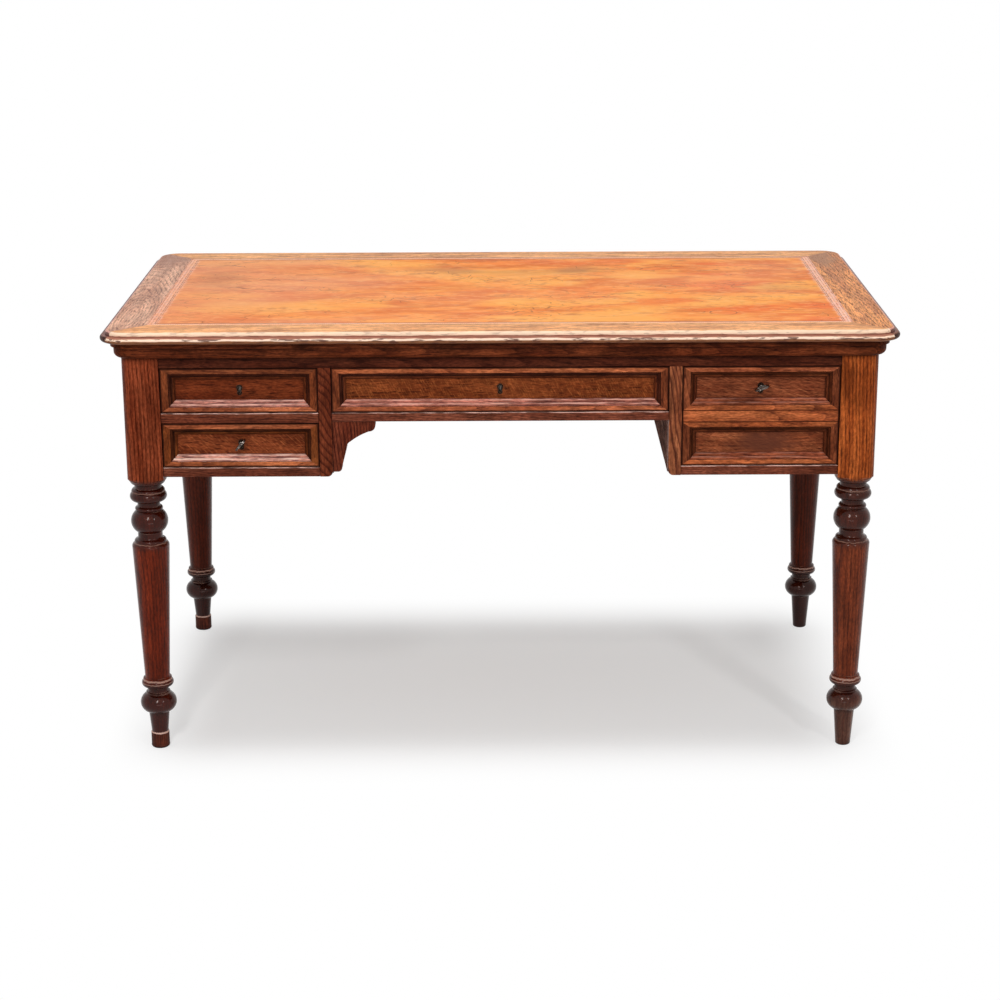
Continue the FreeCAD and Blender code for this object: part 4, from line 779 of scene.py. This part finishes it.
for drawer, looks in frame_looks.items():
    body = drawer + "_drawer"
    doubled = drawer == "right"
    low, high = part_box(drawer + "_front_frame")
    # The flats are edged with a dark line of painted shadow where the gap runs round the drawer.
    flat = dict(wear=1.0, rim=(low[0], high[0], low[2], high[2]))
    # The level flats also darken faces turned down, as painted shade.
    level = dict(flat, hollow_shade=0.5, seams=FALSE_SEAMS if doubled else ())
    deep = 1.5 if doubled else 1.0
    # Lit and shaded copies of the frame's oak: the moulding over and beside the panel is painted shade,
    # and the moulding under it is painted light.
    frame_oak = [
        drawer_oak(drawer + "_flat", looks["top"], **level),
        drawer_oak(drawer + "_upright", looks["upright"], **flat),
        drawer_oak(drawer + "_shade", shaded(looks["upright"], 0.28 * deep, 0.26 * deep, 0.33), wear=0.5),
        drawer_oak(drawer + "_inner_shade", shaded(looks["upright"], 0.6, 0.55, 0.5), wear=0.5),
        drawer_oak(drawer + "_low", looks["low"], **level),
        drawer_oak(drawer + "_moulding", looks["moulding"], wear=0.6, blotch=0.5, dirt_reach=0.006,
                   shelf=looks["rubbed"], shelf_tone=looks["bare"])]
    dress(drawer + "_drawer_front", panel_oak[drawer], body, along=0,
          choose=front_part if doubled else None)
    dress(drawer + "_front_frame", frame_oak, body, arris=0.0006, every=0.006,
          choose=frame_part(low, high))
    for part in ("sides", "back", "bottom"):
        dress(f"{drawer}_drawer_{part}", inner_oak, body, arris=0.0006, every=0.02,
              along=1 if part == "sides" else 0)


# The locks, keyhole plates and keys.
# A thin brass plate lines each keyhole. Behind it an iron key turns a steel lock let into the front's
# back, whose bolt shoots up into the rail above. Two of the four keys are left in their locks.

def metal(name, colour, stain, rough, wear=(0.7, 0.65, 0.6), share=0.5):
    finish, tree, shader = new_finish(name)
    own = own_place(tree)
    dull = patches(tree, own, (260, 260, 260), 3, 0.35, 0.65)
    tone = tint(tree, product(tree, dull, 0.8), colour, stain)
    tone = tint(tree, product(tree, arris_share(tree, 0.0008, 0.05, 0.3), share), tone, wear)
    tree.links.new(tone, shader.inputs["Base Color"])
    tree.links.new(calc(tree, "MULTIPLY_ADD", dull, 0.2, rough), shader.inputs["Roughness"])
    add_relief(tree, shader, cloud(tree, own, (1500, 1500, 1500), 2), 0.3, 0.0002)
    shader.inputs["Metallic"].default_value = 1.0
    return finish


plate_brass = metal("dull_brass_plate", (0.022, 0.010, 0.006), (0.008, 0.004, 0.003), 0.6,
                    wear=(0.42, 0.27, 0.19), share=0.6)
lock_grey = metal("lock_steel_case", (0.34, 0.32, 0.30), (0.16, 0.13, 0.11), 0.42)
key_grey = metal("key_iron_worn", (0.15, 0.125, 0.110), (0.014, 0.009, 0.007), 0.14,
                 wear=(0.85, 0.80, 0.74))
for drawer in frame_looks:
    cover(drawer + "_keyhole_plate", plate_brass)
    cover(drawer + "_lock_case", lock_grey)
    cover(drawer + "_lock_bolt", lock_grey)
cover("left_lower_key", key_grey)
cover("right_key", key_grey)


SCREWS_INWARD, HEADS_PROUD, HEAD_DEPTH, SLOT = 0.006, 0.0003, 0.0011, (0.01, 0.0006, 0.0008)


def screw_heads(group, given):
    """Four slotted heads, each left turned its own way."""
    corners = put(group, "GeometryNodeMeshGrid", {"Size X": given["Width"], "Size Y": given["Height"],
                                                  "Vertices X": 2, "Vertices Y": 2}).outputs["Mesh"]
    head = put(group, "GeometryNodeMeshCylinder", {"Vertices": 24, "Radius": given["Head Radius"],
                                                   "Depth": HEAD_DEPTH}).outputs["Mesh"]
    cutter = put(group, "GeometryNodeMeshCube", {"Size": SLOT}).outputs["Mesh"]
    cutter = put(group, "GeometryNodeTransform", {"Geometry": cutter,
                                                  "Translation": (0, 0, HEAD_DEPTH / 2)}).outputs[0]
    head = put(group, "GeometryNodeMeshBoolean", {"Mesh 1": head, "Mesh 2": cutter},
               operation="DIFFERENCE").outputs["Mesh"]
    turn = put(group, "FunctionNodeRandomValue", {"Max": (0.0, 0.0, 3.1), "Seed": given["Seed"]},
               data_type="FLOAT_VECTOR").outputs["Value"]
    heads = put(group, "GeometryNodeInstanceOnPoints", {"Points": corners, "Instance": head,
                                                        "Rotation": turn}).outputs[0]
    whole = put(group, "GeometryNodeRealizeInstances", {"Geometry": heads}).outputs[0]
    placed = put(group, "GeometryNodeTransform", {"Geometry": whole, "Translation": given["Place"],
                                                  "Rotation": (-math.pi / 2, 0, 0)}).outputs[0]
    return put(group, "GeometryNodeSetMaterial", {"Geometry": placed,
                                                  "Material": given["Material"]}).outputs[0]


for seed, drawer in enumerate(frame_looks):
    low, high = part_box(drawer + "_lock_case")
    middle = (low[0] + high[0]) / 2, high[1] + HEADS_PROUD, (low[2] + high[2]) / 2
    stand(drawer + "_lock_screws", node_mesh(drawer + "_screws", {
        "Width": ("Float", high[0] - low[0] - 2 * SCREWS_INWARD),
        "Height": ("Float", high[2] - low[2] - 2 * SCREWS_INWARD),
        "Head Radius": ("Float", 0.0024), "Seed": ("Int", seed), "Place": ("Vector", middle),
        "Material": ("Material", lock_grey)}, screw_heads), lock_grey, "lock_steel", drawer + "_drawer")


# The room it stands in.
# A pale floor under plain soft light from above and in front, with a tall narrow lamp on either side
# that picks out the polish on the turning.

def seen_directly(tree):
    """Tells the camera's and mirrored rays from those that only carry light on."""
    ray = put(tree, "ShaderNodeLightPath", {}).outputs
    return calc(tree, "MAXIMUM", ray["Is Camera Ray"],
                calc(tree, "MAXIMUM", ray["Is Glossy Ray"], ray["Is Transmission Ray"]))


FLOOR_GREY, SKY_GREY = 0.55, 0.42


def floor_finish():
    """Seen, it is white and only greyed by the desk's shadow; as a source of light it is a pale grey."""
    finish, tree, shader = new_finish("pale_floor")
    x, y, _ = split(tree, own_place(tree))
    direct = seen_directly(tree)
    under = product(tree, between(tree, calc(tree, "ABSOLUTE", x), 0.72, 0.50),
                    between(tree, calc(tree, "ABSOLUTE", y), 0.50, 0.22))
    shade = product(tree, direct, calc(tree, "MULTIPLY_ADD", under, 0.86, -FLOOR_GREY))
    lit = calc(tree, "ADD", FLOOR_GREY, shade)
    paint = put(tree, "ShaderNodeCombineColor", {0: lit, 1: lit, 2: lit}).outputs[0]
    plain = put(tree, "ShaderNodeBsdfDiffuse", {"Color": paint}).outputs[0]
    glow = product(tree, direct, calc(tree, "MULTIPLY_ADD", under, -0.81, 1.0))
    white = put(tree, "ShaderNodeEmission", {"Color": (1, 1, 1), "Strength": glow}).outputs[0]
    mixed = put(tree, "ShaderNodeAddShader", {0: plain, 1: white}).outputs[0]
    tree.links.new(mixed, tree.nodes["Material Output"].inputs["Surface"])
    return finish


FLOOR_RADIUS, FLOOR_CORNERS = 6, 96
mesh = bpy.data.meshes.new("floor")
turns = [i * math.tau / FLOOR_CORNERS for i in range(FLOOR_CORNERS)]
edge = [(FLOOR_RADIUS * math.cos(turn), FLOOR_RADIUS * math.sin(turn), 0.0) for turn in turns]
mesh.from_pydata(edge, [], [list(range(FLOOR_CORNERS))])
mesh.materials.append(floor_finish())
floor = bpy.data.objects.new("floor", mesh)
bpy.context.scene.collection.objects.link(floor)

world = bpy.data.worlds.new("studio")
bpy.context.scene.world = world
world.use_nodes = True
tree = world.node_tree
sky = tree.nodes["Background"].inputs
tree.links.new(between(tree, seen_directly(tree), 0.0, 1.0, SKY_GREY, 1.0), sky["Strength"])
sky["Color"].default_value = (1, 1, 1, 1)


def softbox(name, place, aim, size, power):
    lamp = bpy.data.lights.new(name, "AREA")
    lamp.shape = "RECTANGLE"
    lamp.size, lamp.size_y = size
    lamp.energy = power
    thing = bpy.data.objects.new(name, lamp)
    thing.location = place
    thing.rotation_euler = (Vector(aim) - Vector(place)).to_track_quat("-Z", "Y").to_euler()
    bpy.context.scene.collection.objects.link(thing)


softbox("overhead", (0.0, -0.05, 8.0), (0.0, -0.05, 0.7), (1.2, 2.0), 185)
softbox("front_left", (-0.74, -3.2, 2.7), (-0.1, -0.3, 0.45), (0.45, 1.5), 52)
softbox("front_right", (1.7, -2.9, 2.4), (0.2, -0.3, 0.5), (0.25, 0.8), 15)
softbox("low_front", (0.0, -2.9, 0.18), (0.0, -0.3, 0.5), (1.6, 0.2), 4)

# The camera stands about four metres in front of the desk, at eye height, and looks down on it. Its
# focal length is counted in picture widths.
PLACE = Vector((0.00385, -4.0668, 1.5810))
YAW, PITCH, ROLL = -0.0013, 0.2919, -0.0046
FOCAL, SENSOR_WIDTH = 2286.1 / 1000, 36.0
ahead = Vector((math.sin(YAW) * math.cos(PITCH), math.cos(YAW) * math.cos(PITCH), -math.sin(PITCH)))
right = Vector((math.cos(YAW), -math.sin(YAW), 0.0))
up = right.cross(ahead)
level_right = right * math.cos(ROLL) + up * math.sin(ROLL)
level_up = up * math.cos(ROLL) - right * math.sin(ROLL)
lens = bpy.data.cameras.new("camera")
lens.sensor_width = SENSOR_WIDTH
lens.lens = FOCAL * SENSOR_WIDTH
lens.clip_end = 100.0
lens.shift_y = 0.0007
camera = bpy.data.objects.new("camera", lens)
turned = Matrix((level_right, level_up, -ahead)).transposed()
camera.matrix_world = Matrix.Translation(PLACE) @ turned.to_4x4()
bpy.context.scene.collection.objects.link(camera)
bpy.context.scene.camera = camera
bpy.context.scene.view_settings.view_transform = "Standard"
